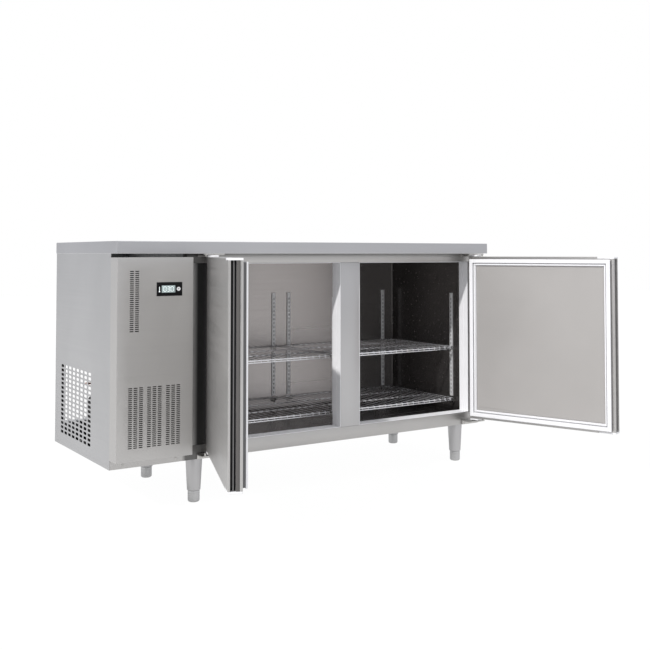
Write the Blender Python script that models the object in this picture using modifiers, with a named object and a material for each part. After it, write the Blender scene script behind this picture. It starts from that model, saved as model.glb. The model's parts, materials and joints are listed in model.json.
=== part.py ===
"""A two-door undercounter refrigerator with the compressor bay on the left.

The cabinet's own coordinates run from the left end of the worktop (x), its front edge (y) and the
floor (z). An empty carries them to the part's frame, whose origin is on the floor, under the middle
of the box that the whole object fills with both doors standing open.
"""

import math

import bmesh
import bpy

mm = 0.001

# ---- overall sizes ----
WORKTOP_WIDTH = 1500 * mm
WORKTOP_DEPTH = 600 * mm
WORKTOP_HEIGHT = 850 * mm
WORKTOP_THICKNESS = 38 * mm
LEG_LENGTH = 152 * mm

# ---- gaps and sheet metal ----
GAP = 0.3 * mm
SHEET = 1.0 * mm
WORKTOP_SHEET = 1.5 * mm
SIDE_OVERHANG = 1.5 * mm
REAR_OVERHANG = 2 * mm
FRONT_SETBACK = 55 * mm

# ---- compressor bay ----
BAY_WIDTH = 253 * mm
COVER_SIDE_GAP = 1.7 * mm
COVER_SHEET = 1.2 * mm
PANEL_TOP_GAP = 11.7 * mm
PANEL_BOTTOM_LIFT = 28.5 * mm

# ---- front frame and openings ----
FRAME_DEPTH = 30 * mm
MULLION_DEPTH = 50 * mm
LEFT_POST_WIDTH = 80.5 * mm
RIGHT_POST_WIDTH = 53 * mm
MULLION_WIDTH = 85 * mm
BOTTOM_RAIL_HEIGHT = 47.5 * mm
TOP_RAIL_HEIGHT = 33.5 * mm
TRIM_THICKNESS = 2 * mm
TRIM_DEPTH = 50 * mm

# ---- foamed rear wall, and how far the liner stands back from the throat trims ----
REAR_WALL = 53 * mm
LINER_RELIEF = 0.5 * mm

# ---- doors ----
DOOR_OPEN_ANGLE = math.radians(110)
DOOR_GAP = 3.4 * mm
DOOR_THICKNESS = 40 * mm
DOOR_SHEET = 1.2 * mm
PIN_TO_HINGE_EDGE = 14.5 * mm
PIN_BACK = 19 * mm
LEFT_PIN_INSET = 75.5 * mm
RIGHT_PIN_INSET = 48 * mm
PIN_RADIUS = 4 * mm
PIN_CLEARANCE = 0.5 * mm
PIN_REACH = 12 * mm
HANDLE_LIP = 6 * mm
HANDLE_MOUTH = 24 * mm
HANDLE_DEPTH = 21 * mm
GASKET_MARGIN = 10 * mm
GASKET_WIDTH = 24 * mm
GASKET_HEIGHT = 13.5 * mm
INNER_PANEL_RECESS = 8 * mm
INNER_PANEL_SLOPE = 6 * mm

# ---- hinge brackets ----
BRACKET_WIDTH = 75 * mm
BRACKET_PLATE = 4 * mm
BRACKET_NOSE = 15 * mm
BRACKET_DROP = 15 * mm
BOSS_RADIUS = 8 * mm

# ---- legs ----
LEG_INSET_X = 61 * mm
LEG_INSET_Y = 70 * mm
LEG_TOP_RADIUS = 28 * mm
LEG_FOOT_RADIUS = 22 * mm
LEG_WALL = 2 * mm
FOOT_RADIUS = 19.5 * mm
FOOT_HEIGHT = 38 * mm
FOOT_ROUNDING = 7 * mm
STEM_RADIUS = 6 * mm
STEM_LENGTH = 60 * mm
FOOT_GAP = 0.8 * mm

# ---- shelves ----
SHELF_BACK_GAP = 5 * mm
SHELF_FRONT = 131 * mm
SHELF_SIDE_GAP = 7.75 * mm
SHELF_CENTRE_GAP = 20 * mm
SHELF_FRAME_WIRE = 6 * mm
SHELF_CROSS_WIRE = 3 * mm
SHELF_BAYS_ACROSS = 20
SHELF_BAYS_DEEP = 3
SHELF_LEVELS = {"lower": 246 * mm, "upper": 448 * mm}
STANDARD_WIDTH = 20 * mm
STANDARD_DEPTH = 4.5 * mm
STANDARD_BOTTOM = 248 * mm
STANDARD_LENGTH = 407 * mm
STANDARD_INSETS = (46 * mm, 25 * mm)

# ---- display module and vents in the front cover ----
DISPLAY_FROM_RIGHT = 38.8 * mm
DISPLAY_BOTTOM = 680 * mm
DISPLAY_WIDTH = 85.4 * mm
DISPLAY_HEIGHT = 43 * mm
DISPLAY_PROUD = 1.5 * mm
DISPLAY_FLANGE = 3 * mm
DISPLAY_BODY_DEPTH = 24 * mm
BUTTON_RADIUS = 6 * mm
BUTTON_FROM_RIGHT = 12.5 * mm
BUTTON_LENGTH = 9 * mm
BUTTON_PROUD = 1.2 * mm
BUTTON_TRAVEL = 1 * mm
UPPER_VENT_COLUMNS = (42 * mm, 59 * mm)
LOWER_VENT_GROUPS = 3
LOWER_VENT_MARGINS = (37.5 * mm, 43.2 * mm)
VENT_STEPS = (0, 17.3 * mm, 34.6 * mm)
UPPER_VENT_BOTTOM = 573 * mm
UPPER_VENT_HEIGHT = 187 * mm
LOWER_VENT_BOTTOM = 221 * mm
LOWER_VENT_HEIGHT = 185 * mm
VENT_SLOT_WIDTH = 13 * mm

# ---- vents in the left side panel ----
SIDE_SLOT_LENGTH = 28 * mm
SIDE_SLOT_HEIGHT = 9.5 * mm
SIDE_SLOT_COLUMNS = 8
SIDE_SLOT_ROWS = 16
SIDE_SLOT_PITCH_Y = 39.5 * mm
SIDE_SLOT_PITCH_Z = 15 * mm
SIDE_SLOTS_FROM_REAR = 81.5 * mm
SIDE_SLOTS_BOTTOM = 199 * mm
SIDE_FLANGE = 15 * mm

# ---- condensing unit ----
TRAY_HEIGHT = 14 * mm
COIL_SIDE_GAP = 21.5 * mm
COIL_HEIGHT = 240 * mm
COIL_THICKNESS = 50 * mm
COIL_FRONT_GAP = 22 * mm
COIL_LIFT = 8 * mm
SHROUD_DEPTH = 30 * mm
SHROUD_RIM = 12 * mm
FAN_TIP_GAP = 5 * mm
FAN_BLADES = 5
FAN_BLADE_THICKNESS = 2 * mm
FAN_PITCH = math.radians(28)
FAN_CHORD_SHARE = 0.55
FAN_HUB_SHARE = 0.24
HUB_LENGTH = 16 * mm
FAN_MOTOR_RADIUS = 32 * mm
FAN_MOTOR_LENGTH = 50 * mm
COMPRESSOR_RADIUS = 78 * mm
COMPRESSOR_HEIGHT = 175 * mm
COMPRESSOR_FOOT = 12 * mm
COMPRESSOR_BACK = 395 * mm  # its middle, measured from the cabinet's front
COMPRESSOR_SKIRT = 20 * mm
COMPRESSOR_PLATE_REACH = 15 * mm
BUSH_RADIUS = 9 * mm
DRIER_RADIUS = 11 * mm
DRIER_LENGTH = 110 * mm
PIPE_RADIUS = 4 * mm
CONTROL_BOX_SIZE = (150 * mm, 180 * mm, 130 * mm)
CONTROL_BOX_FROM_TOP = 30 * mm
CONTROL_BOX_FROM_FRAME = 40 * mm
CONTROL_BOX_FROM_PANEL = 20 * mm
GLAND_RADIUS = 9 * mm
GLAND_LENGTH = 28 * mm
SUCTION_OFFSET = 40 * mm
SUCTION_RISE = 100 * mm

# ---- evaporator on the left wall ----
EVAPORATOR_DEPTH = 80 * mm
EVAPORATOR_BACK_GAP = 25 * mm
EVAPORATOR_BOTTOM = 492 * mm
EVAPORATOR_FRONT = 150 * mm
EVAPORATOR_TOP_GAP = 6 * mm
EVAPORATOR_COIL_DEPTH = 30 * mm
EVAPORATOR_COIL_MARGIN = 15 * mm
EVAPORATOR_FAN_RADIUS = 58 * mm
EVAPORATOR_MOTOR_RADIUS = 18 * mm
EVAPORATOR_MOTOR_LENGTH = 22 * mm
PAN_HEIGHT = 12 * mm

# ---- what follows from them ----
BODY_LEFT = SIDE_OVERHANG
BODY_RIGHT = WORKTOP_WIDTH - SIDE_OVERHANG
BODY_REAR = WORKTOP_DEPTH - REAR_OVERHANG
BODY_BOTTOM = LEG_LENGTH
BODY_TOP = WORKTOP_HEIGHT - WORKTOP_THICKNESS - GAP
COLD_LEFT = BODY_LEFT + BAY_WIDTH
PANEL_TOP = BODY_TOP - PANEL_TOP_GAP
PANEL_BOTTOM = BODY_BOTTOM + PANEL_BOTTOM_LIFT
FRAME_BACK = FRONT_SETBACK + FRAME_DEPTH
LEFT_PIN = COLD_LEFT + LEFT_PIN_INSET
RIGHT_PIN = BODY_RIGHT - RIGHT_PIN_INSET
CENTRE = (LEFT_PIN + RIGHT_PIN) / 2
DOOR_WIDTH = (RIGHT_PIN - LEFT_PIN) / 2 + PIN_TO_HINGE_EDGE - DOOR_GAP / 2
DOOR_REACH = DOOR_WIDTH - PIN_TO_HINGE_EDGE
DOOR_HEIGHT = PANEL_TOP - PANEL_BOTTOM
OPENING_BOTTOM = BODY_BOTTOM + BOTTOM_RAIL_HEIGHT
OPENING_TOP = BODY_TOP - TOP_RAIL_HEIGHT
LEFT_OPENING = (COLD_LEFT + LEFT_POST_WIDTH, CENTRE - MULLION_WIDTH / 2)
RIGHT_OPENING = (CENTRE + MULLION_WIDTH / 2, BODY_RIGHT - RIGHT_POST_WIDTH)
TRIM_ROOM = TRIM_THICKNESS + GAP
LINER_ROOM = TRIM_THICKNESS + LINER_RELIEF
LINER_LEFT = LEFT_OPENING[0] - LINER_ROOM
LINER_RIGHT = RIGHT_OPENING[1] + LINER_ROOM
LINER_FLOOR = OPENING_BOTTOM - LINER_ROOM
LINER_CEILING = OPENING_TOP + LINER_ROOM
LINER_BACK = BODY_REAR - REAR_WALL
COVER_WIDTH = BAY_WIDTH - COVER_SIDE_GAP
DISPLAY_LEFT = BODY_LEFT + COVER_WIDTH - DISPLAY_FROM_RIGHT - DISPLAY_WIDTH
VENT_GROUP_WIDTH = VENT_STEPS[-1] + VENT_SLOT_WIDTH
VENT_ROOM = COVER_WIDTH - sum(LOWER_VENT_MARGINS) - VENT_GROUP_WIDTH
LOWER_VENT_COLUMNS = tuple(
    BODY_LEFT + LOWER_VENT_MARGINS[0] + group * VENT_ROOM / (LOWER_VENT_GROUPS - 1) + step
    for group in range(LOWER_VENT_GROUPS)
    for step in VENT_STEPS
)
COIL_WIDTH = BAY_WIDTH - 2 * COIL_SIDE_GAP
FAN_RADIUS = min(COIL_WIDTH, COIL_HEIGHT) / 2 - SHROUD_RIM - FAN_TIP_GAP
SHELF_WIDTH = (LINER_RIGHT - LINER_LEFT - 2 * SHELF_SIDE_GAP - SHELF_CENTRE_GAP) / 2
SHELF_DEPTH = LINER_BACK - SHELF_BACK_GAP - SHELF_FRONT
EVAPORATOR_LENGTH = LINER_BACK - EVAPORATOR_BACK_GAP - EVAPORATOR_FRONT
ROUND = 24


def turned_about_pin(x, y, angle):
    """Where a point given from a hinge pin goes as the door turns."""
    return (
        x * math.cos(angle) - y * math.sin(angle),
        x * math.sin(angle) + y * math.cos(angle),
    )


def door_corners(pin_x, side):
    """The corners of an open door from above. side is 1 for the left door and -1 for the right."""
    for along in (-PIN_TO_HINGE_EDGE, DOOR_REACH):
        for back in (-PIN_BACK, DOOR_THICKNESS + GASKET_HEIGHT - PIN_BACK):
            x, y = turned_about_pin(side * along, back, -side * DOOR_OPEN_ANGLE)
            yield pin_x + x, PIN_BACK + y


CORNERS = [*door_corners(LEFT_PIN, 1), *door_corners(RIGHT_PIN, -1)]
ORIGIN_X = (min(0, *(x for x, _ in CORNERS)) + max(WORKTOP_WIDTH, *(x for x, _ in CORNERS))) / 2
ORIGIN_Y = (min(0, *(y for _, y in CORNERS)) + WORKTOP_DEPTH) / 2

# Colour, roughness and metallic value of each finish.
FINISHES = {
    "brushed_steel": ((0.40, 0.39, 0.38), 0.38, 1.0),
    "worktop_steel": ((0.42, 0.42, 0.44), 0.30, 1.0),
    "liner_steel": ((0.34, 0.33, 0.33), 0.35, 1.0),
    "galvanised": ((0.33, 0.34, 0.35), 0.50, 1.0),
    "white_plastic": ((0.78, 0.78, 0.80), 0.45, 0.0),
    "black_plastic": ((0.012, 0.012, 0.014), 0.35, 0.0),
    "foam": ((0.80, 0.68, 0.42), 0.90, 0.0),
    "chromed_wire": ((0.55, 0.56, 0.58), 0.15, 1.0),
    "zinc_plated": ((0.48, 0.48, 0.47), 0.35, 1.0),
    "black_enamel": ((0.02, 0.02, 0.022), 0.40, 0.0),
    "copper": ((0.72, 0.32, 0.16), 0.30, 1.0),
    "fin_aluminium": ((0.55, 0.56, 0.57), 0.45, 1.0),
}


def clear_scene():
    for item in list(bpy.data.objects):
        bpy.data.objects.remove(item)


def new_collection(name):
    collection = bpy.data.collections.new(name)
    bpy.context.scene.collection.children.link(collection)
    return collection


def material(name):
    """The finish's Principled material, made the first time it is asked for."""
    found = bpy.data.materials.get(name)
    if found:
        return found
    colour, roughness, metallic = FINISHES[name]
    made = bpy.data.materials.new(name)
    made.use_nodes = True
    shader = made.node_tree.nodes["Principled BSDF"]
    shader.inputs["Base Color"].default_value = (*colour, 1)
    shader.inputs["Roughness"].default_value = roughness
    shader.inputs["Metallic"].default_value = metallic
    return made


def empty(name, location, parent=None, turn=0.0):
    made = bpy.data.objects.new(name, None)
    bpy.context.scene.collection.objects.link(made)
    made.location = location
    made.rotation_euler.z = turn
    made.parent = parent
    return made


def put(piece, name, finish, parent):
    """Names a new object, gives it its finish and moves it into the part's collection."""
    piece.name = name
    piece.parent = parent
    for collection in list(piece.users_collection):
        collection.objects.unlink(piece)
    if finish is None:
        CUTTERS.objects.link(piece)
        piece.hide_render = True
        piece.display_type = "WIRE"
    else:
        PARTS.objects.link(piece)
        piece.data.materials.append(material(finish))
    return piece


def block(name, low, high, finish, parent):
    """A box between two corners."""
    centre = [(a + b) / 2 for a, b in zip(low, high)]
    bpy.ops.mesh.primitive_cube_add(size=1, location=centre)
    piece = bpy.context.object
    piece.scale = [b - a for a, b in zip(low, high)]
    bpy.ops.object.transform_apply(location=False, rotation=False, scale=True)
    return put(piece, name, finish, parent)


def rod(name, centre, radius, length, axis, finish, parent):
    """A cylinder along x, y or z, centred on a point."""
    turn = {"x": (0, math.pi / 2, 0), "y": (math.pi / 2, 0, 0), "z": (0, 0, 0)}[axis]
    bpy.ops.mesh.primitive_cylinder_add(
        vertices=ROUND, radius=radius, depth=length, location=centre, rotation=turn
    )
    piece = bpy.context.object
    piece.data.shade_smooth()
    piece.data.set_sharp_from_angle(angle=math.radians(40))
    return put(piece, name, finish, parent)


def turned(name, profile, location, finish, parent):
    """A body of revolution about z, from (radius, height) points that run down its outer side."""
    mesh = bpy.data.meshes.new(name)
    points = [(radius, 0, height) for radius, height in profile]
    mesh.from_pydata(points, [(i, i + 1) for i in range(len(points) - 1)], [])
    piece = bpy.data.objects.new(name, mesh)
    bpy.context.scene.collection.objects.link(piece)
    piece.location = location
    screw = piece.modifiers.new("turn", "SCREW")
    screw.steps = ROUND
    screw.render_steps = ROUND
    screw.use_merge_vertices = True
    screw.merge_threshold = 0.00001
    screw.use_smooth_shade = True
    return put(piece, name, finish, parent)


def tube(name, points, radius, finish, parent):
    """A round pipe through points, with its corners eased."""
    curve = bpy.data.curves.new(name, "CURVE")
    curve.dimensions = "3D"
    curve.bevel_depth = radius
    curve.bevel_resolution = 2
    curve.use_fill_caps = True
    spline = curve.splines.new("POLY")
    eased = ease(points)
    spline.points.add(len(eased) - 1)
    for point, place in zip(spline.points, eased):
        point.co = (*place, 1)
    piece = bpy.data.objects.new(name, curve)
    bpy.context.scene.collection.objects.link(piece)
    return put(piece, name, finish, parent)


def ease(points, steps=4):
    """Rounds each inner corner of a route with a quadratic arc that takes a third of each side."""
    eased = [points[0]]
    for before, corner, after in zip(points, points[1:], points[2:]):
        start = [c + (b - c) / 3 for b, c in zip(before, corner)]
        end = [c + (a - c) / 3 for a, c in zip(after, corner)]
        for i in range(steps + 1):
            t = i / steps
            weights = ((1 - t) ** 2, 2 * t * (1 - t), t * t)
            spots = zip(start, corner, end)
            eased.append([sum(w * value for w, value in zip(weights, spot)) for spot in spots])
    return [*eased, points[-1]]


def boolean(piece, other, operation):
    change = piece.modifiers.new(operation.lower(), "BOOLEAN")
    change.operation = operation
    change.object = other
    return piece


def cut(piece, low, high):
    """Cuts a box out of a piece."""
    cutter = block(piece.name + "_cutter", low, high, None, piece.parent)
    return boolean(piece, cutter, "DIFFERENCE")


def drill(piece, centre, radius, length, axis):
    """Drills a round hole through a piece."""
    cutter = rod(piece.name + "_drill", centre, radius, length, axis, None, piece.parent)
    return boolean(piece, cutter, "DIFFERENCE")


def add_block(piece, low, high):
    """Joins a box to a piece that it overlaps."""
    lug = block(piece.name + "_lug", low, high, None, piece.parent)
    return boolean(piece, lug, "UNION")


def add_rod(piece, centre, radius, length, axis):
    """Joins a cylinder to a piece that it overlaps."""
    boss = rod(piece.name + "_boss", centre, radius, length, axis, None, piece.parent)
    return boolean(piece, boss, "UNION")


def repeat(piece, count, pitch):
    """Copies a cutter along a constant step."""
    array = piece.modifiers.new("repeat", "ARRAY")
    array.count = count
    array.use_relative_offset = False
    array.use_constant_offset = True
    array.constant_offset_displace = pitch
    return piece


def grown(low, high, amount):
    return [a - amount for a in low], [b + amount for b in high]


# ---- cabinet shell ----
def make_worktop(cabinet):
    """A folded pan: the top sheet with its four edges turned down, open underneath."""
    top = block(
        "worktop",
        (0, 0, WORKTOP_HEIGHT - WORKTOP_THICKNESS),
        (WORKTOP_WIDTH, WORKTOP_DEPTH, WORKTOP_HEIGHT),
        "worktop_steel",
        cabinet,
    )
    cut(
        top,
        (WORKTOP_SHEET, WORKTOP_SHEET, WORKTOP_HEIGHT - 2 * WORKTOP_THICKNESS),
        (
            WORKTOP_WIDTH - WORKTOP_SHEET,
            WORKTOP_DEPTH - WORKTOP_SHEET,
            WORKTOP_HEIGHT - WORKTOP_SHEET,
        ),
    )


def make_side_panels(cabinet):
    """The vented panel beside the compressor, with a rear flange, and the plain one on the right."""
    left = block(
        "side_panel_left",
        (BODY_LEFT, FRONT_SETBACK, BODY_BOTTOM),
        (BODY_LEFT + SIDE_FLANGE, BODY_REAR, BODY_TOP),
        "brushed_steel",
        cabinet,
    )
    cut(
        left,
        (BODY_LEFT + SHEET, FRONT_SETBACK - SHEET, BODY_BOTTOM - SHEET),
        (BODY_LEFT + 2 * SIDE_FLANGE, BODY_REAR - SHEET, BODY_TOP + SHEET),
    )
    first_y = BODY_REAR - SIDE_SLOTS_FROM_REAR
    half_length, half_height = SIDE_SLOT_LENGTH / 2, SIDE_SLOT_HEIGHT / 2
    slots = block(
        "side_slots_cutter",
        (BODY_LEFT - SHEET, first_y - half_length, SIDE_SLOTS_BOTTOM - half_height),
        (BODY_LEFT + 3 * SHEET, first_y + half_length, SIDE_SLOTS_BOTTOM + half_height),
        None,
        cabinet,
    )
    repeat(slots, SIDE_SLOT_COLUMNS, (0, -SIDE_SLOT_PITCH_Y, 0))
    repeat(slots, SIDE_SLOT_ROWS, (0, 0, SIDE_SLOT_PITCH_Z))
    boolean(left, slots, "DIFFERENCE")
    block(
        "side_panel_right",
        (BODY_RIGHT - SHEET, FRONT_SETBACK, BODY_BOTTOM),
        (BODY_RIGHT, BODY_REAR, BODY_TOP),
        "brushed_steel",
        cabinet,
    )


def make_base_and_back(cabinet):
    """The base sheet turns up at its left end, where it parts the cold box from the compressor bay."""
    right = BODY_RIGHT - SHEET - GAP
    base = block(
        "base_pan",
        (COLD_LEFT, FRAME_BACK + GAP, BODY_BOTTOM),
        (right, BODY_REAR - SHEET - GAP, BODY_TOP),
        "galvanised",
        cabinet,
    )
    cut(
        base,
        (COLD_LEFT + SHEET, FRONT_SETBACK, BODY_BOTTOM + SHEET),
        (right + SHEET, BODY_REAR + SHEET, BODY_TOP + SHEET),
    )
    block(
        "back_panel",
        (COLD_LEFT, BODY_REAR - SHEET, BODY_BOTTOM),
        (right, BODY_REAR, BODY_TOP),
        "galvanised",
        cabinet,
    )


def make_channel(name, low, high, cabinet):
    """A folded channel of the front frame, open towards the foam behind it."""
    piece = block(name, low, high, "brushed_steel", cabinet)
    inner_low = (low[0] + SHEET, low[1] + SHEET, low[2] + SHEET)
    inner_high = (high[0] - SHEET, high[1] + SHEET, high[2] - SHEET)
    return cut(piece, inner_low, inner_high)


def make_front_frame(cabinet):
    left, right = BODY_LEFT + SHEET + GAP, BODY_RIGHT - SHEET - GAP
    front, back = FRONT_SETBACK, FRAME_BACK
    rail_top = OPENING_BOTTOM - TRIM_ROOM
    rail_bottom = OPENING_TOP + TRIM_ROOM
    make_channel("bottom_rail", (left, front, BODY_BOTTOM), (right, back, rail_top), cabinet)
    make_channel("top_rail", (COLD_LEFT, front, rail_bottom), (right, back, BODY_TOP), cabinet)
    low, high = rail_top + GAP, rail_bottom - GAP
    make_channel(
        "left_post",
        (COLD_LEFT, front, low),
        (LEFT_OPENING[0] - TRIM_ROOM, back, high),
        cabinet,
    )
    make_channel(
        "right_post",
        (RIGHT_OPENING[1] + TRIM_ROOM, front, low),
        (right, back, high),
        cabinet,
    )
    mullion = block(
        "centre_mullion",
        (LEFT_OPENING[1] + TRIM_ROOM, front, low),
        (RIGHT_OPENING[0] - TRIM_ROOM, front + MULLION_DEPTH, high),
        "brushed_steel",
        cabinet,
    )
    cut(
        mullion,
        (LEFT_OPENING[1] + TRIM_ROOM + SHEET, front + SHEET, low - SHEET),
        (RIGHT_OPENING[0] - TRIM_ROOM - SHEET, front + MULLION_DEPTH - SHEET, high + SHEET),
    )


def make_throat_trims(cabinet):
    """White plastic strips that line each opening between the steel frame and the liner."""
    for side, (left, right) in (("left", LEFT_OPENING), ("right", RIGHT_OPENING)):
        front, back = FRONT_SETBACK + GAP, FRONT_SETBACK + TRIM_DEPTH
        outer = grown((left, front, OPENING_BOTTOM), (right, back, OPENING_TOP), TRIM_THICKNESS)
        trim = block(
            side + "_throat_trim",
            (outer[0][0], front, outer[0][2]),
            (outer[1][0], back, outer[1][2]),
            "white_plastic",
            cabinet,
        )
        cut(trim, (left, front - SHEET, OPENING_BOTTOM), (right, back + SHEET, OPENING_TOP))


def make_foam_and_liner(cabinet):
    """A foamed tub round a folded steel liner, both open to the front."""
    inner_low = (LINER_LEFT, FRAME_BACK + GAP, LINER_FLOOR)
    inner_high = (LINER_RIGHT, LINER_BACK, LINER_CEILING)
    liner_low, liner_high = grown(inner_low, inner_high, SHEET)
    mouth_low = (liner_low[0], inner_low[1], liner_low[2])
    liner = block("liner", mouth_low, liner_high, "liner_steel", cabinet)
    cut(liner, (inner_low[0], inner_low[1] - SHEET, inner_low[2]), inner_high)
    foam = block(
        "insulation",
        (COLD_LEFT + SHEET + GAP, FRAME_BACK + GAP, BODY_BOTTOM + SHEET + GAP),
        (BODY_RIGHT - SHEET - 2 * GAP, BODY_REAR - SHEET - 2 * GAP, BODY_TOP - GAP),
        "foam",
        cabinet,
    )
    foam_low, foam_high = grown(liner_low, liner_high, GAP)
    cut(foam, (foam_low[0], FRONT_SETBACK, foam_low[2]), foam_high)


# ---- doors ----
def make_hinge(name, pin_x, level, cabinet):
    """An L bracket with a boss and the pivot pin. level is 'lower' or 'upper'."""
    if level == "lower":
        up, door_edge = 1, PANEL_BOTTOM
        plate = (PANEL_BOTTOM - BRACKET_DROP, PANEL_BOTTOM - BRACKET_DROP + BRACKET_PLATE)
        leg = (BODY_BOTTOM + GAP, plate[1])
    else:
        up, door_edge = -1, PANEL_TOP
        plate = (BODY_TOP - GAP - BRACKET_PLATE, BODY_TOP - GAP)
        leg = (PANEL_TOP + 2 * GAP, plate[1])
    front = FRONT_SETBACK - GAP
    left, right = pin_x - BRACKET_WIDTH / 2, pin_x + BRACKET_WIDTH / 2
    nose = PIN_BACK - BRACKET_NOSE
    bracket = block(name, (left, nose, plate[0]), (right, front, plate[1]), "zinc_plated", cabinet)
    add_block(bracket, (left, front - BRACKET_PLATE, leg[0]), (right, front, leg[1]))
    start = sum(plate) / 2
    boss_end = door_edge - up * 2 * GAP
    pin_end = door_edge + up * PIN_REACH
    for radius, end in ((BOSS_RADIUS, boss_end), (PIN_RADIUS, pin_end)):
        add_rod(bracket, (pin_x, PIN_BACK, (start + end) / 2), radius, abs(end - start), "z")


def make_door(side, pin_x, cabinet):
    """A door in its closed place about its pin, which an empty then turns open.

    Local x runs from the pin towards the free edge on the left door and away from it on the right,
    so every length along the door is multiplied by the side's sign.
    """
    sign = 1 if side == "left" else -1
    hinge = empty(side + "_door_hinge", (pin_x, PIN_BACK, 0), cabinet, -sign * DOOR_OPEN_ANGLE)

    def corner_pair(along, back, height):
        """Two corners from ranges along the door, back from its face and up from the floor."""
        x = sorted(sign * a for a in along)
        y = [b - PIN_BACK for b in back]
        return (x[0], y[0], height[0]), (x[1], y[1], height[1])

    bottom, top = PANEL_BOTTOM, PANEL_TOP
    hinge_edge, free_edge = -PIN_TO_HINGE_EDGE, DOOR_REACH
    handle_back = free_edge - HANDLE_DEPTH
    foam_end = handle_back - DOOR_SHEET

    skin = block(
        side + "_door_skin",
        *corner_pair((hinge_edge, free_edge), (0, DOOR_THICKNESS), (bottom, top)),
        "brushed_steel",
        hinge,
    )
    cut(
        skin,
        *corner_pair(
            (hinge_edge + DOOR_SHEET, foam_end),
            (DOOR_SHEET, DOOR_THICKNESS + DOOR_SHEET),
            (bottom + DOOR_SHEET, top - DOOR_SHEET),
        ),
    )
    cut(
        skin,
        *corner_pair(
            (handle_back, free_edge + SHEET),
            (HANDLE_LIP, HANDLE_LIP + HANDLE_MOUTH),
            (bottom - SHEET, top + SHEET),
        ),
    )
    panel_back = DOOR_THICKNESS - INNER_PANEL_RECESS - 2 * SHEET
    core = block(
        side + "_door_foam",
        *corner_pair(
            (hinge_edge + DOOR_SHEET + GAP, foam_end - GAP),
            (DOOR_SHEET + GAP, panel_back),
            (bottom + DOOR_SHEET + GAP, top - DOOR_SHEET - GAP),
        ),
        "foam",
        hinge,
    )
    hole = PIN_RADIUS + PIN_CLEARANCE
    for edge in (bottom, top):
        drill(skin, (0, 0, edge), hole, 2 * (PIN_REACH + GAP), "z")
        drill(core, (0, 0, edge), hole + GAP, 2 * (PIN_REACH + 2 * GAP), "z")
    make_inner_panel(side, corner_pair, hinge)
    make_gasket(side, corner_pair, hinge)


def make_inner_panel(side, corner_pair, hinge):
    """A pressed sheet: a rim that lies on the door's edge and a shallow dish inside the gasket."""
    along = (-PIN_TO_HINGE_EDGE + GASKET_MARGIN, DOOR_REACH - GASKET_MARGIN)
    height = (PANEL_BOTTOM + GASKET_MARGIN, PANEL_TOP - GASKET_MARGIN)
    low, high = corner_pair(along, [DOOR_THICKNESS + GAP] * 2, height)
    bpy.ops.mesh.primitive_plane_add(size=1, rotation=(-math.pi / 2, 0, 0))
    panel = bpy.context.object
    panel.scale = (high[0] - low[0], high[2] - low[2], 1)
    panel.location = ((low[0] + high[0]) / 2, low[1], (low[2] + high[2]) / 2)
    bpy.ops.object.transform_apply(location=False, rotation=True, scale=True)
    mesh = bmesh.new()
    mesh.from_mesh(panel.data)
    bmesh.ops.inset_individual(mesh, faces=mesh.faces[:], thickness=GASKET_WIDTH)
    middle = min(mesh.faces, key=lambda face: face.calc_center_median().length)
    bmesh.ops.inset_individual(
        mesh, faces=[middle], thickness=INNER_PANEL_SLOPE, depth=-INNER_PANEL_RECESS
    )
    mesh.to_mesh(panel.data)
    mesh.free()
    wall = panel.modifiers.new("sheet", "SOLIDIFY")
    wall.thickness = SHEET
    wall.offset = 1
    put(panel, side + "_door_inner_panel", "brushed_steel", hinge)


def make_gasket(side, corner_pair, hinge):
    """A ring round the inner panel, drawn at the thickness it has on a closed door."""
    along = (-PIN_TO_HINGE_EDGE + GASKET_MARGIN, DOOR_REACH - GASKET_MARGIN)
    height = (PANEL_BOTTOM + GASKET_MARGIN, PANEL_TOP - GASKET_MARGIN)
    back = (DOOR_THICKNESS + SHEET + 2 * GAP, DOOR_THICKNESS + GASKET_HEIGHT)
    gasket = block(side + "_door_gasket", *corner_pair(along, back, height), "white_plastic", hinge)
    cut(
        gasket,
        *corner_pair(
            (along[0] + GASKET_WIDTH, along[1] - GASKET_WIDTH),
            (DOOR_THICKNESS, DOOR_THICKNESS + 2 * GASKET_HEIGHT),
            (height[0] + GASKET_WIDTH, height[1] - GASKET_WIDTH),
        ),
    )


# ---- legs ----
def make_legs(cabinet):
    """Four tapered tubes, each with a foot on a threaded stem that screws out of it."""
    columns = (COLD_LEFT + LEG_INSET_X, BODY_RIGHT - LEG_INSET_X)
    rows = (FRONT_SETBACK + LEG_INSET_Y, BODY_REAR - LEG_INSET_Y)
    top = BODY_BOTTOM - GAP
    bottom = FOOT_HEIGHT + FOOT_GAP
    bore = STEM_RADIUS + FOOT_GAP
    tube_profile = [
        (0, top),
        (LEG_TOP_RADIUS, top),
        (LEG_TOP_RADIUS, top - 2 * LEG_WALL),
        (LEG_FOOT_RADIUS, bottom),
        (bore, bottom),
        (bore, bottom + STEM_LENGTH + FOOT_GAP),
        (0, bottom + STEM_LENGTH + FOOT_GAP),
    ]
    foot_profile = [
        (0, FOOT_HEIGHT + STEM_LENGTH),
        (STEM_RADIUS, FOOT_HEIGHT + STEM_LENGTH),
        (STEM_RADIUS, FOOT_HEIGHT),
        (FOOT_RADIUS, FOOT_HEIGHT),
        *(
            (
                FOOT_RADIUS - FOOT_ROUNDING * (1 - math.cos(math.radians(a))),
                FOOT_ROUNDING * (1 - math.sin(math.radians(a))),
            )
            for a in range(0, 91, 30)
        ),
        (0, 0),
    ]
    for row, y in zip(("front", "rear"), rows):
        for column, x in zip(("left", "right"), columns):
            turned(f"{row}_{column}_leg", tube_profile, (x, y, 0), "brushed_steel", cabinet)
            turned(f"{row}_{column}_foot", foot_profile, (x, y, 0), "zinc_plated", cabinet)


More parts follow.
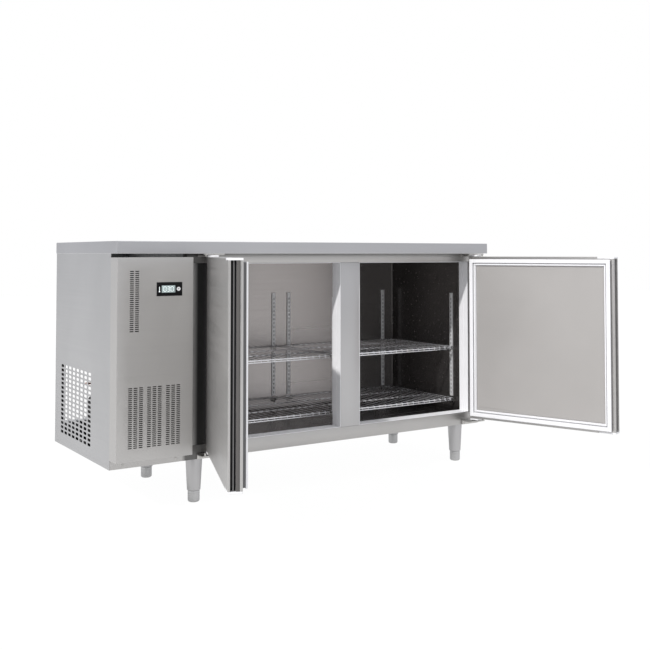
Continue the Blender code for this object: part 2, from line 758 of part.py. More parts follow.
# ---- shelves ----
def make_shelves(cabinet):
    """Four flat lattices: a frame, and bars from front to back between two cross bars."""
    right_end = LINER_RIGHT - SHELF_SIDE_GAP
    right_start = right_end - SHELF_WIDTH
    starts = {"left": right_start - SHELF_CENTRE_GAP - SHELF_WIDTH, "right": right_start}
    frame, wire = SHELF_FRAME_WIRE, SHELF_CROSS_WIRE
    pitch_x = (SHELF_WIDTH - 2 * frame + wire) / SHELF_BAYS_ACROSS
    pitch_y = (SHELF_DEPTH - frame) / SHELF_BAYS_DEEP
    for side, left in starts.items():
        for level, top in SHELF_LEVELS.items():
            shelf = block(
                f"{side}_{level}_shelf",
                (left, SHELF_FRONT, top - frame),
                (left + SHELF_WIDTH, SHELF_FRONT + SHELF_DEPTH, top),
                "chromed_wire",
                cabinet,
            )
            cells = block(
                shelf.name + "_cells",
                (left + frame, SHELF_FRONT + frame, top - 2 * frame),
                (left + frame + pitch_x - wire, SHELF_FRONT + pitch_y, top + frame),
                None,
                cabinet,
            )
            repeat(cells, SHELF_BAYS_ACROSS, (pitch_x, 0, 0))
            repeat(cells, SHELF_BAYS_DEEP, (0, pitch_y, 0))
            boolean(shelf, cells, "DIFFERENCE")
        make_standards(side, left, cabinet)


def make_standards(side, shelf_left, cabinet):
    """Slotted strips on the back wall that carry the shelves' rear corners."""
    wall_inset, centre_inset = STANDARD_INSETS
    shelf_right = shelf_left + SHELF_WIDTH
    if side == "left":
        places = {"outer": shelf_left + wall_inset, "inner": shelf_right - centre_inset}
    else:
        places = {"outer": shelf_right - wall_inset, "inner": shelf_left + centre_inset}
    back = LINER_BACK - GAP
    for place, x in places.items():
        low = (x - STANDARD_WIDTH / 2, back - STANDARD_DEPTH, STANDARD_BOTTOM)
        high = (x + STANDARD_WIDTH / 2, back, STANDARD_BOTTOM + STANDARD_LENGTH)
        strip = block(f"{side}_{place}_standard", low, high, "liner_steel", cabinet)
        cut(
            strip,
            (low[0] + SHEET, low[1] + SHEET, low[2] - SHEET),
            (high[0] - SHEET, high[1] + SHEET, high[2] + SHEET),
        )


# ---- front cover and its display ----
def make_front_cover(cabinet):
    """A deep folded cover over the compressor bay, open behind, with vents and the display window."""
    left, right = BODY_LEFT, BODY_LEFT + COVER_WIDTH
    back = FRONT_SETBACK - GAP
    low, high = (left, 0, PANEL_BOTTOM), (right, back, PANEL_TOP)
    cover = block("front_cover", low, high, "brushed_steel", cabinet)
    cut(
        cover,
        (left + COVER_SHEET, COVER_SHEET, PANEL_BOTTOM + COVER_SHEET),
        (right - COVER_SHEET, FRONT_SETBACK, PANEL_TOP - COVER_SHEET),
    )
    for x in UPPER_VENT_COLUMNS:
        cut(
            cover,
            (x, -SHEET, UPPER_VENT_BOTTOM),
            (x + VENT_SLOT_WIDTH, 2 * COVER_SHEET, UPPER_VENT_BOTTOM + UPPER_VENT_HEIGHT),
        )
    for x in LOWER_VENT_COLUMNS:
        cut(
            cover,
            (x, -SHEET, LOWER_VENT_BOTTOM),
            (x + VENT_SLOT_WIDTH, 2 * COVER_SHEET, LOWER_VENT_BOTTOM + LOWER_VENT_HEIGHT),
        )
    window_low, window_high = display_body()
    cut(
        cover,
        (window_low[0] - GAP, -SHEET, window_low[1] - GAP),
        (window_high[0] + GAP, 2 * COVER_SHEET, window_high[1] + GAP),
    )


def display_body():
    """The x and z corners of the module's body, which passes through the cover's window."""
    left, right = DISPLAY_LEFT + DISPLAY_FLANGE, DISPLAY_LEFT + DISPLAY_WIDTH - DISPLAY_FLANGE
    bottom = DISPLAY_BOTTOM + DISPLAY_FLANGE
    return (left, bottom), (right, DISPLAY_BOTTOM + DISPLAY_HEIGHT - DISPLAY_FLANGE)


def make_display(cabinet):
    """A controller with its flange on the cover's face and one push button."""
    low, high = display_body()
    module = block(
        "display_module",
        (DISPLAY_LEFT, -DISPLAY_PROUD, DISPLAY_BOTTOM),
        (DISPLAY_LEFT + DISPLAY_WIDTH, -GAP, DISPLAY_BOTTOM + DISPLAY_HEIGHT),
        "black_plastic",
        cabinet,
    )
    body_back = DISPLAY_BODY_DEPTH
    add_block(module, (low[0], -DISPLAY_PROUD / 2, low[1]), (high[0], body_back, high[1]))
    x = DISPLAY_LEFT + DISPLAY_WIDTH - BUTTON_FROM_RIGHT
    z = DISPLAY_BOTTOM + DISPLAY_HEIGHT / 2
    front = -DISPLAY_PROUD - BUTTON_PROUD
    back = front + BUTTON_LENGTH
    well_back = back + BUTTON_TRAVEL + GAP
    well_front = -DISPLAY_PROUD - SHEET
    well_centre = (x, (well_front + well_back) / 2, z)
    drill(module, well_centre, BUTTON_RADIUS + GAP, well_back - well_front, "y")
    centre = (x, (front + back) / 2, z)
    rod("set_button", centre, BUTTON_RADIUS, BUTTON_LENGTH, "y", "white_plastic", cabinet)


# ---- condensing unit ----
def make_tray(cabinet):
    """A shallow tray between the side panel and the cold box that carries the compressor."""
    low = (BODY_LEFT + SHEET + GAP, FRAME_BACK + GAP, BODY_BOTTOM)
    high = (COLD_LEFT - GAP, BODY_REAR - SHEET - GAP, BODY_BOTTOM + TRAY_HEIGHT)
    tray = block("compressor_tray", low, high, "galvanised", cabinet)
    cut(
        tray,
        (low[0] + SHEET, low[1] + SHEET, low[2] + SHEET),
        (high[0] - SHEET, high[1] - SHEET, high[2] + SHEET),
    )
    return low[2] + SHEET + GAP


def fan_half_depth(radius):
    """How far a fan reaches along its axis from its middle."""
    blade = radius * FAN_CHORD_SHARE / 2 * math.sin(FAN_PITCH) + FAN_BLADE_THICKNESS
    return max(HUB_LENGTH / 2, blade)


def make_fan(name, centre, axis, radius, finish, parent):
    """A hub with flat blades set at an angle, about an empty on the fan's axis."""
    turn = {"x": (0, math.pi / 2, 0), "y": (math.pi / 2, 0, 0)}[axis]
    hub_radius = radius * FAN_HUB_SHARE
    bpy.ops.mesh.primitive_cylinder_add(
        vertices=ROUND // 2, radius=hub_radius, depth=HUB_LENGTH, rotation=turn
    )
    blade_start, blade_end = hub_radius * 0.8, radius
    hub = put(bpy.context.object, name, finish, parent)
    hub.location = centre
    for i in range(FAN_BLADES):
        bpy.ops.mesh.primitive_cube_add(size=1)
        blade = bpy.context.object
        blade.scale = (radius * FAN_CHORD_SHARE, blade_end - blade_start, FAN_BLADE_THICKNESS)
        blade.location = (0, (blade_start + blade_end) / 2, 0)
        blade.rotation_euler.y = FAN_PITCH
        bpy.ops.object.transform_apply(location=True, rotation=True, scale=True)
        blade.rotation_euler.z = 2 * math.pi * i / FAN_BLADES
        bpy.ops.object.transform_apply(location=False, rotation=True, scale=False)
        blade.rotation_euler = turn
        bpy.ops.object.transform_apply(location=False, rotation=True, scale=False)
        put(blade, f"{name}_blade_{i}", None, parent)
        blade.location = centre
        boolean(hub, blade, "UNION")
    return hub


def make_condenser(floor, cabinet):
    """The finned coil behind the lower vents, its shroud, and the fan that draws air through it."""
    x = (BODY_LEFT + COLD_LEFT) / 2
    front = FRAME_BACK + COIL_FRONT_GAP
    coil_back = front + COIL_THICKNESS
    bottom = floor + COIL_LIFT
    top = bottom + COIL_HEIGHT
    left, right = x - COIL_WIDTH / 2, x + COIL_WIDTH / 2
    coil_low, coil_high = (left, front, floor), (right, coil_back, top)
    block("condenser_coil", coil_low, coil_high, "fin_aluminium", cabinet)
    shroud_front = coil_back + GAP
    shroud_back = shroud_front + SHROUD_DEPTH
    shroud = block(
        "condenser_shroud",
        (left, shroud_front, floor),
        (right, shroud_back, top),
        "black_enamel",
        cabinet,
    )
    z = bottom + COIL_HEIGHT / 2
    cut(
        shroud,
        (left + SHEET, shroud_front - SHEET, floor + SHEET),
        (right - SHEET, shroud_back - 2 * SHEET, top - SHEET),
    )
    drill(shroud, (x, shroud_back, z), FAN_RADIUS + FAN_TIP_GAP, 4 * SHROUD_DEPTH, "y")
    motor_front = shroud_back + fan_half_depth(FAN_RADIUS) + SHEET
    make_fan("condenser_fan", (x, shroud_back, z), "y", FAN_RADIUS, "black_plastic", cabinet)
    motor = rod(
        "condenser_fan_motor",
        (x, motor_front + FAN_MOTOR_LENGTH / 2, z),
        FAN_MOTOR_RADIUS,
        FAN_MOTOR_LENGTH,
        "y",
        "black_enamel",
        cabinet,
    )
    half = FAN_MOTOR_RADIUS * 0.4  # half the width of the stand under the motor
    add_block(
        motor,
        (x - half, motor_front + FAN_MOTOR_LENGTH * 0.5, floor),
        (x + half, motor_front + FAN_MOTOR_LENGTH * 0.9, z),
    )
    return coil_back, top


def make_compressor(floor, cabinet):
    """A hermetic compressor: a domed steel shell on a base plate with rubber-bushed feet."""
    x = (BODY_LEFT + COLD_LEFT) / 2
    bottom = floor + COMPRESSOR_FOOT
    dome = COMPRESSOR_RADIUS * 0.55
    straight = COMPRESSOR_HEIGHT - dome
    arc = [math.radians(a) for a in range(90, -1, -18)]
    profile = [(COMPRESSOR_RADIUS * math.cos(a), straight + dome * math.sin(a)) for a in arc]
    profile[0] = (0, straight + dome)
    profile += [(COMPRESSOR_RADIUS, COMPRESSOR_SKIRT), (COMPRESSOR_RADIUS * 0.8, 0), (0, 0)]
    shell = turned("compressor", profile, (x, COMPRESSOR_BACK, bottom), "black_enamel", cabinet)
    reach = COMPRESSOR_RADIUS + COMPRESSOR_PLATE_REACH
    depth = reach * 0.7  # half the plate's size from front to back
    add_block(
        shell,
        (x - reach, COMPRESSOR_BACK - depth, floor + COMPRESSOR_FOOT / 2),
        (x + reach, COMPRESSOR_BACK + depth, bottom + 2 * SHEET),
    )
    bush_height = COMPRESSOR_FOOT + 3 * SHEET
    for across in (BUSH_RADIUS * 1.5 - reach, reach - BUSH_RADIUS * 1.5):
        for along in (BUSH_RADIUS * 1.5 - depth, depth - BUSH_RADIUS * 1.5):
            place = (x + across, COMPRESSOR_BACK + along, floor + bush_height / 2)
            add_rod(shell, place, BUSH_RADIUS, bush_height, "z")
    return bottom + COMPRESSOR_HEIGHT


def make_bay_fittings(floor, coil_back, coil_top, compressor_top, cabinet):
    """The control box, the cable gland, the filter drier and the suction line."""
    width, depth, height = CONTROL_BOX_SIZE
    left = BODY_LEFT + SHEET + CONTROL_BOX_FROM_PANEL
    top = BODY_TOP - CONTROL_BOX_FROM_TOP
    box_front = FRAME_BACK + CONTROL_BOX_FROM_FRAME
    box_back = box_front + depth
    block(
        "control_box",
        (left, box_front, top - height),
        (left + width, box_back, top),
        "galvanised",
        cabinet,
    )
    gland_x, gland_z = left + width / 2, top - height / 2
    gland = rod(
        "cable_gland",
        (gland_x, box_back + GAP + GLAND_LENGTH / 2, gland_z),
        GLAND_RADIUS,
        GLAND_LENGTH,
        "y",
        "black_plastic",
        cabinet,
    )
    mouth = (gland_x, box_back + GLAND_LENGTH, gland_z)
    drill(gland, mouth, GLAND_RADIUS * 0.5, GLAND_LENGTH, "y")
    drier_x = COLD_LEFT - 3 * DRIER_RADIUS
    drier_y = coil_back + SHROUD_DEPTH + FAN_MOTOR_LENGTH
    drier_z = coil_top + DRIER_LENGTH * 0.8
    drier = DRIER_LENGTH / 2
    turned(
        "filter_drier",
        [
            (0, drier),
            (PIPE_RADIUS, drier),
            (DRIER_RADIUS, drier * 0.75),
            (DRIER_RADIUS, -drier * 0.75),
            (PIPE_RADIUS, -drier),
            (0, -drier),
        ],
        (drier_x, drier_y, drier_z),
        "copper",
        cabinet,
    )
    start = ((BODY_LEFT + COLD_LEFT) / 2, COMPRESSOR_BACK, compressor_top + GAP)
    wall = COLD_LEFT - GAP
    rise = EVAPORATOR_BOTTOM + SUCTION_RISE
    step = SUCTION_OFFSET
    tube(
        "suction_line",
        [
            start,
            (start[0], start[1], rise - 1.5 * step),
            (start[0] + step, start[1] + step, rise),
            (wall - step, start[1] + step, rise),
            (wall, start[1] + step, rise),
        ],
        PIPE_RADIUS,
        "copper",
        cabinet,
    )


# ---- evaporator ----
def make_evaporator(cabinet):
    """The coil, fan and cover that hang on the cold box's left wall above the shelf."""
    wall = LINER_LEFT + GAP
    front, back = EVAPORATOR_FRONT, EVAPORATOR_FRONT + EVAPORATOR_LENGTH
    bottom, top = EVAPORATOR_BOTTOM, LINER_CEILING - EVAPORATOR_TOP_GAP
    face = wall + EVAPORATOR_DEPTH
    low, high = (wall, front, bottom), (face, back, top)
    cover = block("evaporator_cover", low, high, "liner_steel", cabinet)
    cut(
        cover,
        (wall - SHEET, front + SHEET, bottom + SHEET),
        (face - SHEET, back - SHEET, top - SHEET),
    )
    y, z = (front + back) / 2, (bottom + top) / 2 + PAN_HEIGHT / 2
    drill(cover, (face, y, z), EVAPORATOR_FAN_RADIUS + FAN_TIP_GAP, 4 * SHEET, "x")
    pan_top = bottom + SHEET + GAP + PAN_HEIGHT
    pan = block(
        "condensate_pan",
        (wall + SHEET, front + 2 * SHEET, bottom + SHEET + GAP),
        (face - 2 * SHEET, back - 2 * SHEET, pan_top),
        "white_plastic",
        cabinet,
    )
    cut(
        pan,
        (wall + 2 * SHEET, front + 3 * SHEET, bottom + 2 * SHEET + GAP),
        (face - 3 * SHEET, back - 3 * SHEET, pan_top + SHEET),
    )
    coil_back = wall + EVAPORATOR_COIL_MARGIN / 3
    coil_face = coil_back + EVAPORATOR_COIL_DEPTH
    margin = EVAPORATOR_COIL_MARGIN
    block(
        "evaporator_coil",
        (coil_back, front + margin, pan_top + GAP),
        (coil_face, back - margin, top - margin),
        "fin_aluminium",
        cabinet,
    )
    motor_front = coil_face + GAP
    rod(
        "evaporator_fan_motor",
        (motor_front + EVAPORATOR_MOTOR_LENGTH / 2, y, z),
        EVAPORATOR_MOTOR_RADIUS,
        EVAPORATOR_MOTOR_LENGTH,
        "x",
        "black_enamel",
        cabinet,
    )
    radius = EVAPORATOR_FAN_RADIUS
    fan_x = motor_front + EVAPORATOR_MOTOR_LENGTH + fan_half_depth(radius) + SHEET
    make_fan("evaporator_fan", (fan_x, y, z), "x", radius, "black_plastic", cabinet)


clear_scene()
PARTS = new_collection("undercounter_refrigerator")
CUTTERS = new_collection("cutters")
CABINET = empty("cabinet_frame", (-ORIGIN_X, -ORIGIN_Y, 0))

make_worktop(CABINET)
make_side_panels(CABINET)
make_base_and_back(CABINET)
make_front_frame(CABINET)
make_throat_trims(CABINET)
make_foam_and_liner(CABINET)
for door_side, door_pin in (("left", LEFT_PIN), ("right", RIGHT_PIN)):
    make_door(door_side, door_pin, CABINET)
    for hinge_level in ("lower", "upper"):
        make_hinge(f"{door_side}_{hinge_level}_hinge", door_pin, hinge_level, CABINET)
make_legs(CABINET)
make_shelves(CABINET)
make_front_cover(CABINET)
make_display(CABINET)
TRAY_FLOOR = make_tray(CABINET)
COIL_BACK, COIL_TOP = make_condenser(TRAY_FLOOR, CABINET)
COMPRESSOR_TOP = make_compressor(TRAY_FLOOR, CABINET)
make_bay_fittings(TRAY_FLOOR, COIL_BACK, COIL_TOP, COMPRESSOR_TOP, CABINET)
make_evaporator(CABINET)
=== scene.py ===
# %% [markdown]
# # A two-door undercounter refrigerator
#
# A worktop refrigerator stands under a counter in a food truck or a small kitchen. It is a steel
# box on legs with foam in its walls, a machine bay on the left and two doors that open sideways.
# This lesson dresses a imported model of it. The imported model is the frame: it fixes every size and
# every hinge, and each new piece below takes its place from it.
#
# The work goes from the outside in. Camera and light come first, then finishes, then sheet metal,
# doors, fittings, shelves and last the machinery. Each step says what the piece is on the real
# object and why it is made the way it is.

import json
import math

import bmesh
import bpy
from mathutils import Matrix, Vector


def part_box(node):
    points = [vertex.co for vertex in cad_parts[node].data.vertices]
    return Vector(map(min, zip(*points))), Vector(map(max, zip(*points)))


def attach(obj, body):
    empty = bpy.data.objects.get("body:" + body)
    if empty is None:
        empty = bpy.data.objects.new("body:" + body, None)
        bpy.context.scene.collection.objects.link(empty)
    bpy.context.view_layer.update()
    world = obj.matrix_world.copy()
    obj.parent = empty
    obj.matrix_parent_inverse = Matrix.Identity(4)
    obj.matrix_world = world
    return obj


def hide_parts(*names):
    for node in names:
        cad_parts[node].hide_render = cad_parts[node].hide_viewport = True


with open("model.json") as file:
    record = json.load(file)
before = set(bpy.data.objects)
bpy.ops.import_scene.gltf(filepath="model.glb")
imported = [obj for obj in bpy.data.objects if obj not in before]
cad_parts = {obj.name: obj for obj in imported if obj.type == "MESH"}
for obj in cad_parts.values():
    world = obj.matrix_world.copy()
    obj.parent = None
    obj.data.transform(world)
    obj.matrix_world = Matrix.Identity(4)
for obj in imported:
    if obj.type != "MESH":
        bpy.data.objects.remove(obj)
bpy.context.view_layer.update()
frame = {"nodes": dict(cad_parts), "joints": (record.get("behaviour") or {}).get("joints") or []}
mm = 0.001

# %% [markdown]
# ## Camera
#
# The camera stands at eye height for someone a few steps in front of the left end. It looks almost
# level, so that upright edges stay upright, and the lens is shifted down instead of tilting the
# camera. A shift keeps the cabinet's edges parallel, where a tilt would make them lean.

# %% The camera
EYE = (-1.8474, -2.7684, 0.8118)
TURN, TILT = math.radians(-33.35), math.radians(92.09)
LENS = 52.08
SHIFT = (-0.0110, -0.1628)

lens = bpy.data.cameras.new("camera")
lens.lens = LENS
lens.sensor_width = 36
lens.shift_x, lens.shift_y = SHIFT
camera = bpy.data.objects.new("camera", lens)
bpy.context.scene.collection.objects.link(camera)
camera.location = EYE
camera.rotation_euler = (TILT, 0, TURN)
bpy.context.scene.camera = camera
print("camera", round((camera.location - Vector((0, 0, 0.4))).length, 2), "m from the cabinet")

# %% [markdown]
# ## Floor and light
#
# Steel shows what surrounds it, so the light is mostly large and soft: a pale room, a broad panel on
# the left and another overhead. One key light with a narrow spread comes from the upper left. It
# reaches the white jambs between the door and the worktop's edge and leaves the rest of the cold
# space in shade. The room is paler for the camera than for the steel, which keeps the backdrop
# clean without washing the metal out.

# %% The floor
FLOOR_SIZE = 30.0
FLOOR_TONE = 0.55
FLOOR_GLOW = 0.93
FLOOR_LIFT = 0.42


def nodes_of(material):
    """A material's node tree and its Principled shader."""
    material.use_nodes = True
    tree = material.node_tree
    return tree, tree.nodes["Principled BSDF"]


def pale_floor():
    """White to the eye with a faint shadow, and a mid grey to anything that reflects it."""
    made = bpy.data.materials.new("pale_floor")
    tree, shader = nodes_of(made)
    shader.inputs["Base Color"].default_value = (*[FLOOR_TONE] * 3, 1)
    shader.inputs["Roughness"].default_value = 0.8
    shader.inputs["Specular IOR Level"].default_value = 0.1
    glow = tree.nodes.new("ShaderNodeEmission")
    glow.inputs["Strength"].default_value = 1.05
    seen = tree.nodes.new("ShaderNodeLightPath")
    share = tree.nodes.new("ShaderNodeMath")
    share.operation = "MULTIPLY_ADD"
    share.inputs[1].default_value = FLOOR_GLOW - FLOOR_LIFT
    share.inputs[2].default_value = FLOOR_LIFT
    mix = tree.nodes.new("ShaderNodeMixShader")
    tree.links.new(seen.outputs["Is Camera Ray"], share.inputs[0])
    tree.links.new(share.outputs["Value"], mix.inputs["Fac"])
    tree.links.new(shader.outputs["BSDF"], mix.inputs[1])
    tree.links.new(glow.outputs["Emission"], mix.inputs[2])
    tree.links.new(mix.outputs["Shader"], tree.nodes["Material Output"].inputs["Surface"])
    return made


bpy.ops.object.select_all(action="DESELECT")
bpy.ops.mesh.primitive_plane_add(size=FLOOR_SIZE)
floor = bpy.context.object
floor.name = "studio_floor"
floor.data.materials.append(pale_floor())
print("floor", FLOOR_SIZE, "m across")

# %% The lights
KEY_DIRECTION = (2.7, 1.0, -2.02)
KEY_STRENGTH = 2.5
KEY_SPREAD = math.radians(1.5)
ROOM_STRENGTH = 0.74
CARD_PLACE = (-3.9, -3.6, 1.2)
CARD_SIZE = (3.6, 2.4)
BACKDROP = 1.0


def sun_lamp():
    """One hard key light. Glossy rays don't see it, so no door mirrors it onto the posts."""
    lamp = bpy.data.lights.new("key_light", "SUN")
    lamp.energy = KEY_STRENGTH
    lamp.angle = KEY_SPREAD
    lamp.color = (1.0, 0.985, 0.965)
    made = bpy.data.objects.new("key_light", lamp)
    bpy.context.scene.collection.objects.link(made)
    made.rotation_euler = Vector(KEY_DIRECTION).to_track_quat("-Z", "Y").to_euler()
    made.visible_glossy = False


def soft_panel(name, place, aim, size, power):
    lamp = bpy.data.lights.new(name, "AREA")
    lamp.shape = "RECTANGLE"
    lamp.size, lamp.size_y = size
    lamp.energy = power
    made = bpy.data.objects.new(name, lamp)
    bpy.context.scene.collection.objects.link(made)
    made.location = place
    made.rotation_euler = (Vector(aim) - Vector(place)).to_track_quat("-Z", "Y").to_euler()


def dark_card():
    """A black card behind the camera. Only mirror-like surfaces see it, as dark tones."""
    bpy.ops.object.select_all(action="DESELECT")
    bpy.ops.mesh.primitive_plane_add(size=1)
    card = bpy.context.object
    card.name = "dark_card"
    card.scale = (CARD_SIZE[0], CARD_SIZE[1], 1)
    card.location = CARD_PLACE
    card.rotation_euler = (math.pi / 2, 0, math.atan2(CARD_PLACE[1], CARD_PLACE[0]) + math.pi / 2)
    made = bpy.data.materials.new("black_card")
    nodes_of(made)[1].inputs["Base Color"].default_value = (0.01, 0.01, 0.01, 1)
    card.data.materials.append(made)
    card.visible_camera = card.visible_diffuse = card.visible_shadow = False


def room_light():
    world = bpy.data.worlds.new("room")
    world.use_nodes = True
    bpy.context.scene.world = world
    tree = world.node_tree
    seen = tree.nodes.new("ShaderNodeLightPath")
    backdrop = tree.nodes.new("ShaderNodeBackground")
    backdrop.inputs["Strength"].default_value = BACKDROP
    backdrop.inputs["Color"].default_value = (1, 1, 1, 1)
    room = tree.nodes["Background"]
    room.inputs["Color"].default_value = (0.96, 0.97, 1.0, 1)
    room.inputs["Strength"].default_value = ROOM_STRENGTH
    mix = tree.nodes.new("ShaderNodeMixShader")
    tree.links.new(seen.outputs["Is Camera Ray"], mix.inputs["Fac"])
    tree.links.new(room.outputs["Background"], mix.inputs[1])
    tree.links.new(backdrop.outputs["Background"], mix.inputs[2])
    tree.links.new(mix.outputs["Shader"], tree.nodes["World Output"].inputs["Surface"])


sun_lamp()
dark_card()
soft_panel("left_panel", (-4.5, -2.0, 2.2), (0, 0, 0.4), (3.0, 2.5), 30)
soft_panel("overhead_panel", (0.4, -1.2, 4.2), (0, 0.2, 0), (3.5, 3.0), 30)
room_light()
bpy.context.scene.view_settings.view_transform = "Standard"
print("key light leans", round(math.degrees(math.asin(-KEY_DIRECTION[2] / Vector(KEY_DIRECTION).length))),
      "deg")

# %% [markdown]
# ## Finishes
#
# Almost every surface here is brushed stainless steel. A brushing belt leaves fine lines all one
# way, so the noise that drives the roughness and the bump is stretched along the grain. A second,
# slow noise shifts the tone a little, as hands and cleaning cloths do. All patterns read the
# object's own coordinates in metres, so a line is as fine on a screw as on the worktop.

# %% Small tools for materials
def link(tree, source, output, target, socket):
    tree.links.new(source.outputs[output], target.inputs[socket])


def noise(tree, scale, stretch=(1, 1, 1), turn=0.0, detail=4.0, distortion=0.0):
    """A noise in the object's coordinates, stretched along an axis and turned about z."""
    place = tree.nodes.new("ShaderNodeTexCoord")
    mapping = tree.nodes.new("ShaderNodeMapping")
    mapping.vector_type = "TEXTURE"
    mapping.inputs["Rotation"].default_value = (0, 0, turn)
    mapping.inputs["Scale"].default_value = stretch
    made = tree.nodes.new("ShaderNodeTexNoise")
    made.inputs["Scale"].default_value = scale
    made.inputs["Detail"].default_value = detail
    made.inputs["Distortion"].default_value = distortion
    link(tree, place, "Object", mapping, "Vector")
    link(tree, mapping, "Vector", made, "Vector")
    return made


def adjust(material, socket, value):
    """Sets one value of a material's Principled shader."""
    nodes_of(material)[1].inputs[socket].default_value = value


def spread(tree, source, output, low, high, start=0.3, end=0.7):
    """Carries a noise value into a range."""
    made = tree.nodes.new("ShaderNodeMapRange")
    made.inputs["From Min"].default_value = start
    made.inputs["From Max"].default_value = end
    made.inputs["To Min"].default_value = low
    made.inputs["To Max"].default_value = high
    link(tree, source, output, made, "Value")
    return made


def tint(tree, shader, factor, output, first, second):
    """Mixes two colours into the shader's base colour."""
    made = tree.nodes.new("ShaderNodeMix")
    made.data_type = "RGBA"
    made.inputs[6].default_value = (*first, 1)
    made.inputs[7].default_value = (*second, 1)
    tree.links.new(factor.outputs[output], made.inputs[0])
    tree.links.new(made.outputs[2], shader.inputs["Base Color"])


def relief(tree, shader, source, output, strength, height):
    made = tree.nodes.new("ShaderNodeBump")
    made.inputs["Strength"].default_value = strength
    made.inputs["Distance"].default_value = height
    link(tree, source, output, made, "Height")
    link(tree, made, "Normal", shader, "Normal")


def shades(colour, amount):
    """A darker and a lighter version of a colour."""
    return [c * (1 - amount) for c in colour], [min(1, c * (1 + amount)) for c in colour]


print("material tools ready")

# %% Brushed steel
GRAIN_LENGTH = {"x": (60, 1, 1), "y": (1, 60, 1), "z": (1, 1, 60)}


def brushed(name, colour, roughness, grain, metallic=1.0, turn=0.0, depth=0.35, fine=900):
    made = bpy.data.materials.new(name)
    tree, shader = nodes_of(made)
    lines = noise(tree, fine, GRAIN_LENGTH[grain], turn, detail=3)
    bands = noise(tree, fine / 8, GRAIN_LENGTH[grain], turn, detail=5)
    cloud = noise(tree, 2.6, detail=3, distortion=0.6)
    rough = spread(tree, bands, "Fac", roughness * 0.86, roughness * 1.16)
    link(tree, rough, "Result", shader, "Roughness")
    tone = spread(tree, cloud, "Fac", 0.25, 0.75)
    streak = tree.nodes.new("ShaderNodeMath")
    streak.operation = "MULTIPLY_ADD"
    streak.inputs[1].default_value = 0.55
    link(tree, bands, "Fac", streak, 0)
    link(tree, tone, "Result", streak, 2)
    level = spread(tree, streak, "Value", 0, 1, 0.4, 1.15)
    tint(tree, shader, level, "Result", *shades(colour, 0.055))
    relief(tree, shader, lines, "Fac", depth, 0.00004)
    shader.inputs["Metallic"].default_value = metallic
    return made


print("brushed steel ready")

# %% [markdown]
# The other finishes are smaller. Moulded plastic has a fine stipple from its tool. Baked enamel
# has a soft orange peel and a little dust. Zinc coating shows crystals, a chromed wire is nearly a
# mirror, and copper pipe darkens in patches where it was soldered.

# %% Plastic, enamel, zinc, chrome and copper
def moulded(name, colour, roughness, stipple=1400, depth=0.12):
    made = bpy.data.materials.new(name)
    tree, shader = nodes_of(made)
    grain = noise(tree, stipple, detail=2)
    cloud = noise(tree, 9, detail=3)
    tint(tree, shader, spread(tree, cloud, "Fac", 0, 1), "Result", *shades(colour, 0.03))
    link(tree, spread(tree, grain, "Fac", roughness * 0.9, roughness * 1.1), "Result", shader, "Roughness")
    relief(tree, shader, grain, "Fac", depth, 0.00005)
    shader.inputs["Specular IOR Level"].default_value = 0.45
    return made


def enamel(name, colour, dust, roughness=0.35):
    made = bpy.data.materials.new(name)
    tree, shader = nodes_of(made)
    peel = noise(tree, 420, detail=1)
    cloud = noise(tree, 14, detail=5)
    tint(tree, shader, spread(tree, cloud, "Fac", 0, 1, 0.45, 0.75), "Result", colour, dust)
    link(tree, spread(tree, cloud, "Fac", roughness, roughness * 1.7), "Result", shader, "Roughness")
    relief(tree, shader, peel, "Fac", 0.25, 0.0001)
    return made


def spangled(name, colour, roughness=0.42):
    """Zinc crystals a few millimetres across, each a little lighter or darker."""
    made = bpy.data.materials.new(name)
    tree, shader = nodes_of(made)
    place = tree.nodes.new("ShaderNodeTexCoord")
    cells = tree.nodes.new("ShaderNodeTexVoronoi")
    cells.inputs["Scale"].default_value = 120
    link(tree, place, "Object", cells, "Vector")
    tint(tree, shader, spread(tree, cells, "Distance", 0, 1, 0, 0.7), "Result", *shades(colour, 0.10))
    link(tree, spread(tree, cells, "Distance", roughness * 1.2, roughness * 0.8, 0, 0.7), "Result",
         shader, "Roughness")
    shader.inputs["Metallic"].default_value = 1.0
    return made


def plated(name, colour, roughness, patch=40, change=0.06):
    """Chrome, zinc or copper: a smooth metal with a patchy tone."""
    made = bpy.data.materials.new(name)
    tree, shader = nodes_of(made)
    cloud = noise(tree, patch, detail=4)
    tint(tree, shader, spread(tree, cloud, "Fac", 0, 1), "Result", *shades(colour, change))
    link(tree, spread(tree, cloud, "Fac", roughness * 0.8, roughness * 1.3), "Result", shader, "Roughness")
    shader.inputs["Metallic"].default_value = 1.0
    return made


def foamed(name, colour):
    made = bpy.data.materials.new(name)
    tree, shader = nodes_of(made)
    cells = noise(tree, 600, detail=4)
    tint(tree, shader, spread(tree, cells, "Fac", 0, 1), "Result", *shades(colour, 0.12))
    relief(tree, shader, cells, "Fac", 0.6, 0.0003)
    shader.inputs["Roughness"].default_value = 0.9
    return made


print("other finishes ready")

# %% The finishes of this cabinet
OPEN_ANGLE = math.radians(max(frame["joints"][0]["range_deg"]))

STEEL = (0.565, 0.555, 0.545)
WORKTOP_STEEL = brushed("worktop_steel", (0.56, 0.56, 0.575), 0.34, "x")
FRONT_STEEL = brushed("front_steel", STEEL, 0.40, "x", 0.85)
RAIL_STEEL = brushed("rail_steel", STEEL, 0.40, "x")
POST_STEEL = brushed("post_steel", (0.57, 0.565, 0.57), 0.40, "z")
SIDE_STEEL = brushed("side_steel", (0.60, 0.60, 0.605), 0.42, "y")
LINER_STEEL = brushed("liner_steel", (0.44, 0.415, 0.405), 0.24, "x", 0.86, fine=700)
# The left post's steel: a pale base that the ramp below darkens almost to black towards the door, as painted
# shade.
PAINTED_SHADE_POST_STEEL = brushed("painted_shade_post_steel", (0.95, 0.93, 0.92), 0.40, "z", 0.3)


